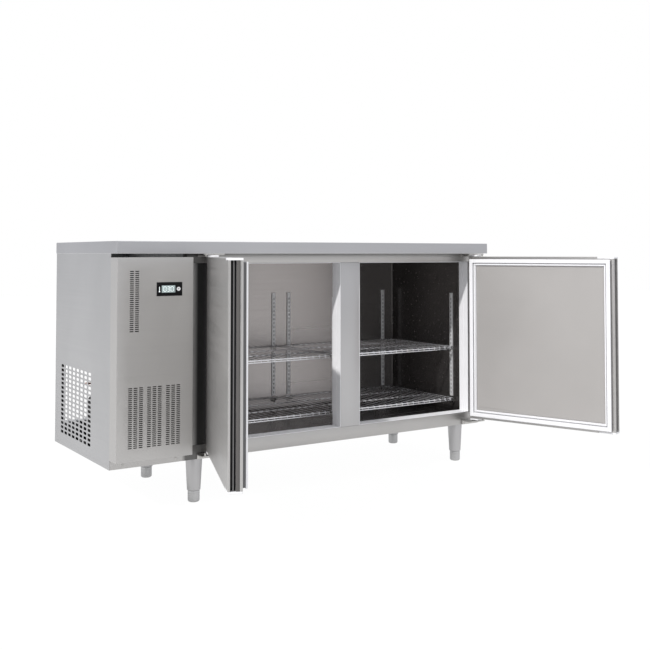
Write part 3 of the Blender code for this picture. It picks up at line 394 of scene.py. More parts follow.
def shade_along(material, axis, start, end, first, last):
    """Ramps a finish's brightness along one axis.

    It stands in for reflections of surroundings that this scene doesn't hold, and isn't a property
    of the metal.
    """
    tree, shader = nodes_of(material)
    place = tree.nodes.new("ShaderNodeTexCoord")
    split = tree.nodes.new("ShaderNodeSeparateXYZ")
    link(tree, place, "Object", split, "Vector")
    amount = spread(tree, split, axis, first, last, start, end)
    scale = tree.nodes.new("ShaderNodeVectorMath")
    scale.operation = "SCALE"
    tree.links.new(shader.inputs["Base Color"].links[0].from_socket, scale.inputs[0])
    link(tree, amount, "Result", scale, "Scale")
    tree.links.new(scale.outputs["Vector"], shader.inputs["Base Color"])


# Painted shade: the liner's steel darkens to a third of its tone towards the right compartment, and to less
# than half on its floor.
shade_along(LINER_STEEL, "X", 0.33, 0.46, 1, 0.32)
shade_along(LINER_STEEL, "Z", 0.198, 0.212, 0.42, 1)
# Painted shade: the left post's steel darkens almost to black towards the door.
shade_along(PAINTED_SHADE_POST_STEEL, "X", -0.575, -0.535, 1, 0.02)
# Painted shade: the rail steel darkens to 0.3 of its tone from the left post to x = -0.49, where the second
# ramp brings it back to full tone.
shade_along(RAIL_STEEL, "X", -0.590, -0.576, 1, 0.3)
shade_along(RAIL_STEEL, "X", -0.520, -0.490, 1, 3.33)
DOOR_STEEL = {
    "left": brushed("left_door_steel", STEEL, 0.36, "x", 0.85, -OPEN_ANGLE),
    "right": brushed("right_door_steel", STEEL, 0.36, "x", 0.85, OPEN_ANGLE),
}
PANEL_TONE = (0.42, 0.405, 0.395)
PANEL_STEEL = {
    "left": brushed("left_panel_steel", PANEL_TONE, 0.55, "x", 0.3, -OPEN_ANGLE, 0.15),
    "right": brushed("right_panel_steel", PANEL_TONE, 0.55, "x", 0.3, OPEN_ANGLE, 0.15),
}
GALVANISED = spangled("galvanised", (0.50, 0.51, 0.52))
ZINC = plated("zinc_plate", (0.62, 0.61, 0.59), 0.32)
CHROME = plated("chrome", (0.86, 0.86, 0.88), 0.16, patch=90)
adjust(CHROME, "Metallic", 0.8)
STANDARD_STEEL = plated("standard_steel", (0.74, 0.74, 0.75), 0.35, patch=50)
adjust(STANDARD_STEEL, "Metallic", 0.35)
COPPER = plated("copper", (0.80, 0.42, 0.27), 0.30, patch=25, change=0.25)
ALUMINIUM = plated("aluminium", (0.72, 0.73, 0.74), 0.42, patch=60)
WHITE_PLASTIC = moulded("white_plastic", (0.84, 0.84, 0.86), 0.42)
WHITE_RUBBER = moulded("white_rubber", (0.75, 0.75, 0.77), 0.55, stipple=700, depth=0.2)
GREY_PLASTIC = moulded("grey_plastic", (0.17, 0.175, 0.185), 0.5)
BLACK_PLASTIC = moulded("black_plastic", (0.014, 0.014, 0.016), 0.42)
BLACK_RUBBER = moulded("black_rubber", (0.02, 0.02, 0.02), 0.7, stipple=500, depth=0.3)
# The bellows' grey, darker than the white rubber, is painted shade for the recess under the gasket's bulb.
BELLOWS_SHADE_GREY = moulded("bellows_shade_grey", (0.17, 0.17, 0.175), 0.6, stipple=500, depth=0.3)
BLACK_ENAMEL = enamel("black_enamel", (0.012, 0.012, 0.014), (0.05, 0.048, 0.045))
GREY_ENAMEL = enamel("grey_enamel", (0.30, 0.31, 0.32), (0.36, 0.35, 0.34), 0.45)
FOAM = foamed("foam", (0.80, 0.68, 0.42))
print("finishes:", len([m for m in bpy.data.materials if m.use_nodes]))

# %% [markdown]
# ## Tools for modelling
#
# Every piece starts as a primitive at its real size, is shaped in edit mode, and is finished with
# modifiers. The tools below do what a modeller's hands do: clear the selection, add a block or a
# rod, choose faces or edges by where they are and which way they face, and bevel what is chosen.
# Sheet metal is never knife-sharp, and a bevel of half a millimetre is what makes an edge catch the
# light, so nearly everything gets one.

# %% Start a piece
def begin():
    """Object mode with nothing selected, which every new primitive needs."""
    if bpy.context.mode != "OBJECT":
        bpy.ops.object.mode_set(mode="OBJECT")
    bpy.ops.object.select_all(action="DESELECT")


def named(name):
    """Names the new primitive and moves its place and turn into its mesh."""
    piece = bpy.context.object
    piece.name = name
    piece.data.name = name
    bpy.ops.object.transform_apply(location=True, rotation=True, scale=True)
    return piece


def slab(name, low, high):
    """A block between two corners."""
    begin()
    low, high = Vector(low), Vector(high)
    bpy.ops.mesh.primitive_cube_add(size=1, location=(low + high) / 2)
    bpy.context.object.scale = high - low
    return named(name)


AXIS_TURN = {"x": (0, math.pi / 2, 0), "y": (math.pi / 2, 0, 0), "z": (0, 0, 0)}


def rod(name, centre, radius, length, axis="z", sides=32):
    """A cylinder about a point, along x, y or z."""
    begin()
    bpy.ops.mesh.primitive_cylinder_add(
        vertices=sides, radius=radius, depth=length, location=centre, rotation=AXIS_TURN[axis]
    )
    return named(name)


def ring(name, centre, radius, wire, axis="z", around=48, sides=8):
    """A wire bent into a circle."""
    begin()
    bpy.ops.mesh.primitive_torus_add(
        major_radius=radius, minor_radius=wire, major_segments=around, minor_segments=sides,
        location=centre, rotation=AXIS_TURN[axis],
    )
    return named(name)


def edit(piece, kind="FACE"):
    """Opens one piece in edit mode with nothing chosen."""
    begin()
    bpy.context.view_layer.objects.active = piece
    piece.select_set(True)
    bpy.ops.object.mode_set(mode="EDIT")
    bpy.ops.mesh.select_mode(type=kind)
    bpy.ops.mesh.select_all(action="DESELECT")
    return bmesh.from_edit_mesh(piece.data)


def faces(piece, wanted):
    """Chooses faces by a test of their normal and middle, and stays in edit mode."""
    shape = edit(piece, "FACE")
    for face in shape.faces:
        face.select_set(bool(wanted(face.normal, face.calc_center_median())))
    bmesh.update_edit_mesh(piece.data)


def edges(piece, wanted):
    """Chooses edges by a test of their direction and middle, and stays in edit mode."""
    shape = edit(piece, "EDGE")
    for edge in shape.edges:
        first, second = edge.verts
        way = (second.co - first.co).normalized()
        edge.select_set(bool(wanted(way, (first.co + second.co) / 2)))
    bmesh.update_edit_mesh(piece.data)


def running(axis):
    """A test that chooses the edges running along one axis."""
    i = "xyz".index(axis)
    return lambda way, middle: abs(way[i]) > 0.9


print("starting tools ready")

# %% Shape, cut and copy
SHARP = math.radians(30)


def soften(piece, width, segments=2, wanted=None):
    """Bevels chosen edges, or every sharp edge."""
    if wanted is None:
        edit(piece, "EDGE")
        bpy.ops.mesh.edges_select_sharp(sharpness=SHARP)
    else:
        edges(piece, wanted)
    bpy.ops.mesh.bevel(offset=width, segments=segments, affect="EDGES", clamp_overlap=True)
    begin()
    return piece


def modify(piece, kind, **settings):
    """Adds a modifier and applies it."""
    begin()
    bpy.context.view_layer.objects.active = piece
    piece.select_set(True)
    step = piece.modifiers.new(kind.lower(), kind)
    for key, value in settings.items():
        setattr(step, key, value)
    bpy.ops.object.modifier_apply(modifier=step.name)
    return piece


def carve(piece, cutter, operation="DIFFERENCE"):
    """Cuts one piece with another, or joins them into one skin, and throws the other away."""
    modify(piece, "BOOLEAN", operation=operation, object=cutter)
    bpy.data.objects.remove(cutter)
    return piece


def in_a_row(piece, count, step):
    return modify(
        piece, "ARRAY", count=count, use_relative_offset=False, use_constant_offset=True,
        constant_offset_displace=step,
    )


def twin(piece, name, move=(0, 0, 0), turn=0.0):
    """A copy with its own mesh, turned about z and then moved."""
    copy = piece.copy()
    copy.data = piece.data.copy()
    copy.name = copy.data.name = name
    bpy.context.scene.collection.objects.link(copy)
    copy.data.transform(Matrix.Translation(move) @ Matrix.Rotation(turn, 4, "Z"))
    return copy


def together(name, pieces):
    """Joins pieces into one object."""
    begin()
    for piece in pieces:
        piece.select_set(True)
    bpy.context.view_layer.objects.active = pieces[0]
    bpy.ops.object.join()
    pieces[0].name = pieces[0].data.name = name
    return pieces[0]


def thicken(piece, thickness, inward=True):
    return modify(
        piece, "SOLIDIFY", thickness=thickness, offset=-1 if inward else 1, use_even_offset=True
    )


print("shaping tools ready")

# %% Finish a piece
def settle(piece, slot, material, *nodes, body="cabinet", smooth=35):
    """Shades a finished piece, gives it its finish and its body, and hides the nodes it stands for."""
    begin()
    bpy.context.view_layer.objects.active = piece
    piece.select_set(True)
    bpy.ops.object.shade_smooth_by_angle(angle=math.radians(smooth))
    piece.data.materials.clear()
    piece.data.materials.append(material)
    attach(piece, body)
    if nodes:
        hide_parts(*nodes)
    return piece


def refined(node, width, segments=2):
    """A copy of a frame node with its loose triangles merged and its sharp edges beveled."""
    source = frame["nodes"][node]
    copy = source.copy()
    copy.data = source.data.copy()
    copy.parent = None
    copy.matrix_world = Matrix.Identity(4)
    copy.modifiers.clear()
    for key in list(copy.keys()):
        del copy[key]
    copy.name = copy.data.name = node + "_finished"
    bpy.context.scene.collection.objects.link(copy)
    edit(copy, "VERT")
    bpy.ops.mesh.select_all(action="SELECT")
    bpy.ops.mesh.remove_doubles(threshold=0.00001)
    bpy.ops.mesh.dissolve_limited(angle_limit=math.radians(1))
    return soften(copy, width, segments)


def keep(node, material):
    """Keeps a frame node as it is and gives it a real finish."""
    piece = frame["nodes"][node]
    piece.data.materials.clear()
    piece.data.materials.append(material)


print("finishing tools ready")

# %% [markdown]
# ## Worktop
#
# The worktop is a folded pan of thick sheet: a flat top with its four edges turned down and a short
# lip turned back underneath. It starts as a block. The bottom is opened, the corners and the top
# edge are rolled, and Solidify gives the sheet its thickness, so the underside is hollow as it
# should be. A board closes the hollow, which stops the real sheet from drumming.

# %% The worktop
WORKTOP_SHEET = 1.5 * mm
TOP_ROLL = 2.2 * mm
LIP = 14 * mm

low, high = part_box("worktop")
worktop = slab("worktop_pan", low, high)
faces(worktop, lambda normal, middle: normal.z < -0.9)
bpy.ops.mesh.inset(thickness=LIP, depth=0)
bpy.ops.mesh.delete(type="FACE")
soften(worktop, TOP_ROLL, 4, lambda way, middle: middle.z > high.z - 1 * mm or abs(way.z) > 0.9)
thicken(worktop, WORKTOP_SHEET)
settle(worktop, "worktop_steel", WORKTOP_STEEL, "worktop")

board_low = low + Vector((3 * mm, 3 * mm, WORKTOP_SHEET + 1 * mm))
board = slab("worktop_board", board_low, high - Vector((3 * mm, 3 * mm, 3 * mm)))
soften(board, 1 * mm)
settle(board, "galvanised", GREY_ENAMEL)
print("worktop", [round(v, 3) for v in high - low])

# %% [markdown]
# ## Side panels
#
# The left panel covers the machine bay. Its lower rear part is punched with rows of long round-ended
# slots, and its rear edge is folded in. The slots must be real holes, because daylight shows
# through them from the open back of the bay. One slot is modelled, repeated along and up as a
# cutter, and taken out of the sheet in one go.

# %% The vented left panel
SHEET = 1 * mm
SLOT = (28 * mm, 9.5 * mm)
SLOT_COLUMNS, SLOT_ROWS = 8, 16
SLOT_PITCH = (39.5 * mm, 15 * mm)
SLOTS_FROM_REAR = 81.5 * mm
SLOTS_FROM_BOTTOM = 47 * mm

low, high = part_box("side_panel_left")
body_left, body_rear, body_bottom = low.x, high.y, low.z
panel = slab("left_side_sheet", low, (low.x + SHEET, high.y, high.z))
faces(panel, lambda normal, middle: normal.x > 0.9)
bpy.ops.mesh.bisect(plane_co=(0, high.y - SHEET, 0), plane_no=(0, 1, 0))
faces(panel, lambda normal, middle: normal.x > 0.9 and middle.y > high.y - SHEET)
bpy.ops.mesh.extrude_region_move(TRANSFORM_OT_translate={"value": (high.x - low.x - SHEET, 0, 0)})
soften(panel, 0.9 * mm, 3, lambda way, middle: abs(way.z) > 0.9 and middle.x < low.x + 1e-5)

y = body_rear - SLOTS_FROM_REAR
z = body_bottom + SLOTS_FROM_BOTTOM
slot = slab(
    "slot",
    (low.x - SHEET, y - SLOT[0] / 2, z - SLOT[1] / 2),
    (low.x + 3 * SHEET, y + SLOT[0] / 2, z + SLOT[1] / 2),
)
soften(slot, SLOT[1] * 0.49, 4, running("x"))
in_a_row(slot, SLOT_COLUMNS, (0, -SLOT_PITCH[0], 0))
in_a_row(slot, SLOT_ROWS, (0, 0, SLOT_PITCH[1]))
carve(panel, slot)
settle(panel, "panel_steel", SIDE_STEEL, "side_panel_left")
print("left panel with", SLOT_COLUMNS * SLOT_ROWS, "slots,", len(panel.data.polygons), "faces")

# %% [markdown]
# ## Front frame
#
# The rails, posts and mullion are plain folded channels. The frame nodes already have their shape,
# so each is copied, its triangles are merged into whole faces, and its folds are rounded. The grain
# runs along each piece, as it does on strip cut from a sheet. Three more folded pieces frame the open
# back of the machine bay: a rail, a sill and an upright. The rail is the dark line over the cover, and
# the other two darken the rear and lowest slots of the side panel.

# %% Rails, posts and plain panels
FOLD = 0.6 * mm
STRIPS = {
    "bottom_rail": RAIL_STEEL,
    "top_rail": RAIL_STEEL,
    "left_post": PAINTED_SHADE_POST_STEEL,
    "right_post": POST_STEEL,
    "centre_mullion": POST_STEEL,
    "side_panel_right": SIDE_STEEL,
}
for node, metal in STRIPS.items():
    settle(refined(node, FOLD, 2), "panel_steel", metal, node)
for node in ("base_pan", "back_panel", "compressor_tray"):
    settle(refined(node, 0.4 * mm, 1), "galvanised", GALVANISED, node)
keep("insulation", FOAM)

RAIL_DEPTH, TOP_RAIL, SILL, REAR_POST = 30 * mm, 34 * mm, 55 * mm, 25 * mm
cold_left, body_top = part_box("base_pan")[0].x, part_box("back_panel")[1].z
rear_y = body_rear - SHEET - 0.3 * mm
bay = (body_left + SHEET + 0.3 * mm, cold_left - 0.3 * mm)
sill_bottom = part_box("compressor_tray")[1].z + 0.3 * mm
sill_top, rail_bottom = sill_bottom + SILL, body_top - TOP_RAIL
REAR_FRAME = {
    "bay_rear_rail": (bay, (rail_bottom, body_top)),
    "bay_rear_sill": (bay, (sill_bottom, sill_top)),
    "bay_rear_post": ((bay[0], bay[0] + REAR_POST), (sill_top + 0.3 * mm, rail_bottom - 0.3 * mm)),
}
for name, ((left, right), (bottom, top)) in REAR_FRAME.items():
    rail = slab(name, (left, rear_y - RAIL_DEPTH, bottom), (right, rear_y, top))
    faces(rail, lambda normal, middle: normal.y > 0.9)
    bpy.ops.mesh.delete(type="FACE")
    soften(rail, FOLD, 2)
    thicken(rail, SHEET)
    settle(rail, "galvanised", GALVANISED)
print("frame strips:", len(STRIPS) + len(REAR_FRAME))

# %% [markdown]
# ## Throat trims
#
# Where the outer steel meets the cold liner, a white plastic strip keeps the two apart, or frost
# would form on the frame. It lines each opening like a picture frame turned inwards, with a small
# rounded nose in front and a shallow groove half way back.

# %% The white trims
NOSE = 1.2 * mm

for side in ("left", "right"):
    trim = refined(side + "_throat_trim", 0.5 * mm, 2)
    low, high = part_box(side + "_throat_trim")
    middle_y = (low.y + high.y) / 2
    groove_low = (low.x - 5 * mm, middle_y - NOSE, low.z + 1.2 * mm)
    groove = slab("groove", groove_low, (high.x + 5 * mm, middle_y + NOSE, high.z - 1.2 * mm))
    core = slab("core", (low.x + 1.2 * mm, low.y, low.z - 5 * mm),
                (high.x - 1.2 * mm, high.y, high.z + 5 * mm))
    carve(groove, core, "INTERSECT")
    carve(trim, groove)
    settle(trim, "white_plastic", WHITE_PLASTIC, side + "_throat_trim")
print("trims stand", round((high.y - low.y) * 1000), "mm deep")

# %% [markdown]
# ## Liner
#
# The cold space is one steel tub with coved corners, so that it wipes clean. A block is opened at
# the front, its edges are rounded with a wide radius and its wall is grown outwards, away from the
# space inside. One liner serves both doors, and the mullion stands in front of it.

# %% The liner
COVE = 4 * mm

low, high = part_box("liner")
inner_low = (low.x + SHEET, low.y, low.z + SHEET)
inner_high = (high.x - SHEET, high.y - SHEET, high.z - SHEET)
liner = slab("liner_tub", inner_low, inner_high)
faces(liner, lambda normal, middle: normal.y < -0.9)
bpy.ops.mesh.delete(type="FACE")
soften(liner, COVE, 4, lambda way, middle: middle.y > low.y + 1 * mm)
thicken(liner, SHEET, inward=False)
settle(liner, "liner_steel", LINER_STEEL, "liner", smooth=50)
liner_low, liner_high = Vector(inner_low), Vector(inner_high)
print("cold space", round((liner_high.x - liner_low.x) * 1000), "mm wide inside")

# %% [markdown]
# ## Front cover
#
# A deep folded cover hides the machine bay. It is pressed with stacks of narrow louvres: two stacks
# high on the left let warm air out, and nine below draw air in over the condenser. Each louvre is a
# thin slot with rounded ends. A single slot is stacked with an Array, the stack is copied to each
# place, and the whole set cuts the cover at once.

# %% The cover's shell
COVER_SHEET = 1.2 * mm
COVER_ROLL = 1.8 * mm

low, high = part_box("front_cover")
cover_front = low.y
cover = slab("cover_shell", low, high)
faces(cover, lambda normal, middle: normal.y > 0.9)
bpy.ops.mesh.delete(type="FACE")
soften(cover, COVER_ROLL, 4, lambda way, middle: middle.y < high.y - 1 * mm)
thicken(cover, COVER_SHEET)
print("cover", round((high.x - low.x) * 1000), "x", round((high.z - low.z) * 1000), "mm")

# %% The louvres
LOUVRE_WIDTH = 13 * mm
LOUVRE_HEIGHT = 3.1 * mm
UPPER_COLUMNS = (42 * mm, 59 * mm)
UPPER_RUN = (573 * mm, 30, 6.3 * mm)
LOWER_COLUMNS = [(group + column) * mm for group in (39, 100, 162) for column in (0, 17.3, 34.6)]
LOWER_RUN = (221 * mm, 31, 6.0 * mm)
WORKTOP_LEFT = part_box("worktop")[0].x


def louvres(name, run):
    """A stack of slots on the cover's left edge, from its lowest height, count and pitch."""
    bottom, count, pitch = run
    place = Vector((WORKTOP_LEFT, cover_front, bottom))
    made = slab(name, place - Vector((0, 3 * mm, 0)), place + Vector((LOUVRE_WIDTH, 3 * mm, LOUVRE_HEIGHT)))
    soften(made, LOUVRE_HEIGHT * 0.45, 2, running("y"))
    return in_a_row(made, count, (0, 0, pitch))


cutters = []
for name, run, columns in (("upper", UPPER_RUN, UPPER_COLUMNS), ("lower", LOWER_RUN, LOWER_COLUMNS)):
    stack = louvres(name + "_louvres", run)
    cutters += [twin(stack, name, (x, 0, 0)) for x in columns]
    bpy.data.objects.remove(stack)
carve(cover, together("louvre_cutters", cutters))
module_low, module_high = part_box("display_module")
FLANGE = 3 * mm
window = slab(
    "window",
    (module_low.x + FLANGE, cover_front - 5 * mm, module_low.z + FLANGE),
    (module_high.x - FLANGE, cover_front + 5 * mm, module_high.z - FLANGE),
)
carve(cover, window)
settle(cover, "panel_steel", FRONT_STEEL, "front_cover")
print("louvre stacks:", len(UPPER_COLUMNS) + len(LOWER_COLUMNS), "faces:", len(cover.data.polygons))

# %% [markdown]
# Behind the louvres sits a dust filter of dark open foam in a thin frame, which is why the slots look
# dark instead of showing daylight from the open back. Only the part behind the slots shows.

# %% The dust filters
FILTER_FOAM = foamed("filter_foam", (0.035, 0.034, 0.034))
FILTER_RIM = 5 * mm
FILTER_DEPTH = 6 * mm
FILTER_BEHIND = 12 * mm
FILTERS = {
    "lower_dust_filter": (30 * mm, 222 * mm, 205 * mm, 425 * mm),
    "upper_dust_filter": (34 * mm, 80 * mm, 560 * mm, 775 * mm),
}


def dust_filter(name, left, right, bottom, top):
    y = cover_front + FILTER_BEHIND
    rim = slab(name + "_rim", (left, y, bottom), (right, y + FILTER_DEPTH, top))
    inner_low = (left + FILTER_RIM, y - mm, bottom + FILTER_RIM)
    inner_high = (right - FILTER_RIM, y + FILTER_DEPTH + mm, top - FILTER_RIM)
    carve(rim, slab("hole", inner_low, inner_high))
    soften(rim, 0.6 * mm, 2)
    settle(rim, "grey_plastic", GREY_PLASTIC)
    pad = slab(name + "_pad", (inner_low[0], y + mm, inner_low[2]),
               (inner_high[0], y + FILTER_DEPTH - mm, inner_high[2]))
    soften(pad, 1.5 * mm, 3)
    settle(pad, "black_plastic", FILTER_FOAM)


for name, (left, right, bottom, top) in FILTERS.items():
    dust_filter(name, WORKTOP_LEFT + left, WORKTOP_LEFT + right, bottom, top)
print("filters", round(FILTER_BEHIND * 1000), "mm behind the cover")

# %% [markdown]
# ## Display and button
#
# The controller is a black glossy bezel with a grey-green liquid crystal window. Its digits are seven
# short bars each, lit or left out, so one bar shape makes every number. A thermometer symbol is on the
# left and the one push button on the right.

# %% The bezel
GLASS = moulded("display_glass", (0.006, 0.006, 0.007), 0.08, stipple=90, depth=0.02)
adjust(GLASS, "Specular IOR Level", 0.15)
CRYSTAL = moulded("liquid_crystal", (0.30, 0.36, 0.36), 0.25, stipple=300, depth=0.02)
adjust(CRYSTAL, "Emission Color", (0.45, 0.55, 0.56, 1))
adjust(CRYSTAL, "Emission Strength", 0.25)
LIT = moulded("lit_bars", (0.86, 0.92, 0.92), 0.4, stipple=300, depth=0.02)
adjust(LIT, "Emission Color", (0.85, 0.95, 0.95, 1))
adjust(LIT, "Emission Strength", 0.5)

low, high = module_low, module_high
button_low, button_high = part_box("set_button")
button_centre = (button_low + button_high) / 2
button_radius = (button_high.z - button_low.z) / 2
bezel = slab("display_bezel", low, (high.x, cover_front - 0.3 * mm, high.z))
soften(bezel, 1.1 * mm, 3, lambda way, middle: middle.y < low.y + 0.5 * mm or abs(way.y) > 0.9)
case = slab(
    "case",
    (low.x + FLANGE + 0.4 * mm, low.y + 0.6 * mm, low.z + FLANGE + 0.4 * mm),
    (high.x - FLANGE - 0.4 * mm, high.y, high.z - FLANGE - 0.4 * mm),
)
carve(bezel, case, "UNION")
carve(bezel, rod("well", button_centre, button_radius + 0.4 * mm, 24 * mm, "y", 48))
settle(bezel, "black_plastic", GLASS, "display_module")
print("bezel", round((high.x - low.x) * 1000, 1), "mm wide")

# %% The screen and its digits
SCREEN = (16.5 * mm, 61.5 * mm, 10.5 * mm, 32.5 * mm)
DIGIT = (8 * mm, 14 * mm)
BAR = 1.5 * mm
BARS_OF = {"0": "abcdef", "2": "abdeg", "3": "abcdg", "4": "bcfg"}

screen_front = low.y - 0.15 * mm
screen = slab(
    "display_screen",
    (low.x + SCREEN[0], screen_front, low.z + SCREEN[2]),
    (low.x + SCREEN[1], low.y + 0.6 * mm, low.z + SCREEN[3]),
)
soften(screen, 0.1 * mm, 2)
settle(screen, "black_plastic", CRYSTAL)


def bar(centre, length, upright):
    """One bar of a digit, with its ends narrowed to a point."""
    across, tall = (BAR, length) if upright else (length, BAR)
    x, z = centre
    made = slab(
        "bar",
        (x - across / 2, screen_front - 0.15 * mm, z - tall / 2),
        (x + across / 2, screen_front + 0.2 * mm, z + tall / 2),
    )
    return soften(made, BAR * 0.45, 1, running("y"))


def digit(shape, x, z):
    """A number made of the bars a to g, from its lower left corner."""
    wide, tall = DIGIT
    half = tall / 2
    spots = {
        "a": ((x + wide / 2, z + tall), wide, False),
        "g": ((x + wide / 2, z + half), wide, False),
        "d": ((x + wide / 2, z), wide, False),
        "f": ((x, z + half * 1.5), half, True),
        "b": ((x + wide, z + half * 1.5), half, True),
        "e": ((x, z + half / 2), half, True),
        "c": ((x + wide, z + half / 2), half, True),
    }
    return [bar(centre, length - BAR, upright) for key, (centre, length, upright) in spots.items()
            if key in BARS_OF[shape]]


first_x, base_z = low.x + 23 * mm, low.z + 14.5 * mm
marks = [piece for place, shape in enumerate("030") for piece in digit(shape, first_x + place * 12 * mm,
                                                                       base_z)]
marks.append(bar((first_x + 22 * mm, base_z), BAR, False))
settle(together("display_digits", marks), "white_plastic", LIT)
print("digits made of", len(marks), "bars")

# %% The thermometer symbol and the button
symbol_x = low.x + 9 * mm
stem = rod("stem", (symbol_x, low.y, low.z + 22 * mm), 0.9 * mm, 14 * mm, "z", 16)
bulb = rod("bulb", (symbol_x, low.y - 0.1 * mm, low.z + 14 * mm), 2.2 * mm, 1.2 * mm, "y", 24)
soften(stem, 0.4 * mm, 2)
soften(bulb, 0.3 * mm, 2)
settle(together("thermometer_symbol", [stem, bulb]), "white_plastic", LIT)

button = rod("push_button", button_centre, button_radius, button_high.y - button_low.y, "y", 48)
faces(button, lambda normal, middle: normal.y < -0.9)
bpy.ops.mesh.inset(thickness=1.4 * mm, depth=0)
bpy.ops.mesh.inset(thickness=0.4 * mm, depth=-0.4 * mm)
soften(button, 0.5 * mm, 3, lambda way, middle: middle.y < button_low.y + 0.1 * mm)
settle(button, "white_plastic", WHITE_PLASTIC, "set_button", body="button")
dot_front = button_low.y - 0.1 * mm
dot = rod("button_symbol", (button_centre.x, dot_front + 0.4 * mm, button_centre.z), 1.8 * mm, 0.8 * mm,
          "y", 6)
soften(dot, 0.2 * mm, 2)
settle(dot, "black_plastic", BLACK_PLASTIC, body="button")
print("button", round(button_radius * 2000, 1), "mm across")

# %% [markdown]
# ## Doors
#
# Both doors stand open. A door is easiest to model closed and square, with its hinge pin on the
# z axis, and then turned open about the pin with its place moved into the mesh. The sizes come from
# the frame nodes, turned back the same way. The door runs along x from its hinge, its outer face is
# towards the user, and `side` carries the sign that tells left from right.

# %% The doors' own coordinates
SIDES = {"left": 1, "right": -1}


def joint_place(body):
    """Where a body's joint stands, from the frame."""
    return Vector(next(joint["pos_m"] for joint in frame["joints"] if joint["child"] == body))


PINS = {side: joint_place(side + "_door") for side in SIDES}


def door_box(side, part):
    """Corners of a door's node as if the door were closed with its pin on the z axis."""
    back = Matrix.Rotation(SIDES[side] * OPEN_ANGLE, 3, "Z")
    node = frame["nodes"][f"{side}_door_{part}"]
    pin = Vector((PINS[side].x, PINS[side].y, 0))
    points = [back @ (vertex.co - pin) for vertex in node.data.vertices]
    return [Vector(pick(p[i] for p in points) for i in range(3)) for pick in (min, max)]


def door_slab(side, name, along, back, height):
    """A block of a door, from ranges measured from the pin towards the free edge."""
    x = sorted(SIDES[side] * value for value in along)
    return slab(name, (x[0], back[0], height[0]), (x[1], back[1], height[1]))


def hang(side, piece, slot, material, *nodes, smooth=35):
    """Turns a finished door piece open about its pin and fixes it to the door."""
    begin()
    piece.select_set(True)
    bpy.context.view_layer.objects.active = piece
    piece.location = (PINS[side].x, PINS[side].y, 0)
    piece.rotation_euler.z = -SIDES[side] * OPEN_ANGLE
    bpy.ops.object.transform_apply(location=True, rotation=True, scale=True)
    return settle(piece, slot, material, *nodes, body=side + "_door", smooth=smooth)


skin_low, skin_high = door_box("left", "skin")
FACE, BACK = skin_low.y, skin_high.y
HINGE_EDGE, FREE_EDGE = skin_low.x, skin_high.x
BOTTOM, TOP = skin_low.z, skin_high.z
print("door", round((FREE_EDGE - HINGE_EDGE) * 1000), "x", round((TOP - BOTTOM) * 1000), "mm")

# %% [markdown]
# The free edge of each door is its handle: a channel runs from top to bottom, and fingers hook
# behind its outer lip. The lip, a step and the inner shoulder are extruded out of the end face by
# their own lengths, after Bisect has cut it into bands. A dark plastic profile with a rib lines the
# bottom of the channel.

# %% The door's outer skin
DOOR_ROLL = 1.6 * mm
CHANNEL = 21 * mm
LIP_BAND = 6 * mm
STEP_BAND = 22 * mm
SHOULDER_BAND = 31.5 * mm
STEP_BACK = 8 * mm
CAP_HEIGHT = 6 * mm
CAP_LENGTH = 60 * mm


def door_skin(side):
    sign = SIDES[side]
    channel_end = FREE_EDGE - CHANNEL
    skin = door_slab(side, side + "_door_shell", (HINGE_EDGE, channel_end), (FACE, BACK), (BOTTOM, TOP))
    for band in (LIP_BAND, STEP_BAND, SHOULDER_BAND):
        faces(skin, lambda normal, middle: normal.x * sign > 0.9)
        bpy.ops.mesh.bisect(plane_co=(0, FACE + band, 0), plane_no=(0, 1, 0))
    reaches = (
        (0, LIP_BAND, CHANNEL),
        (STEP_BAND, BACK - FACE, CHANNEL - STEP_BACK),
        (SHOULDER_BAND, BACK - FACE, STEP_BACK),
    )
    for first, last, reach in reaches:
        faces(skin, lambda n, m: n.x * sign > 0.9 and FACE + first < m.y < FACE + last)
        bpy.ops.mesh.extrude_region_move(TRANSFORM_OT_translate={"value": (sign * reach, 0, 0)})
    soften(skin, DOOR_ROLL, 3, lambda way, middle: middle.y < FACE + 0.1 * mm)
    soften(skin, 0.8 * mm, 2, lambda way, middle: abs(way.z) > 0.9 and middle.y > FACE + LIP_BAND - 0.1 * mm)
    for end in (BOTTOM, TOP):
        inner = end + CAP_HEIGHT if end == BOTTOM else end - CAP_HEIGHT
        room = door_slab(side, "cap_room", (FREE_EDGE - CAP_LENGTH, FREE_EDGE + mm),
                         (FACE - mm, BACK + mm), sorted((end * 2 - inner, inner)))
        carve(skin, room)
    bore = rod("bore", (0, 0, (BOTTOM + TOP) / 2), 4.5 * mm, TOP - BOTTOM + 10 * mm, "z", 24)
    carve(skin, bore)
    return hang(side, skin, "panel_steel", DOOR_STEEL[side], side + "_door_skin")


for side in SIDES:
    door_skin(side)
print("door skins with a", round(CHANNEL * 1000), "mm deep handle channel")

# %% The channel's lining and the white end caps
RIB = (13 * mm, 17 * mm)
LINING = 1.5 * mm
LINING_MOUTH = 9 * mm
RIB_MOUTH = 7 * mm
RIB_GREY = moulded("rib_grey", (0.15, 0.148, 0.148), 0.5)
# The step strip's dark grey is painted shade for the step between the rib and the shoulder.
STEP_SHADE_GREY = moulded("step_shade_grey", (0.10, 0.095, 0.092), 0.5)


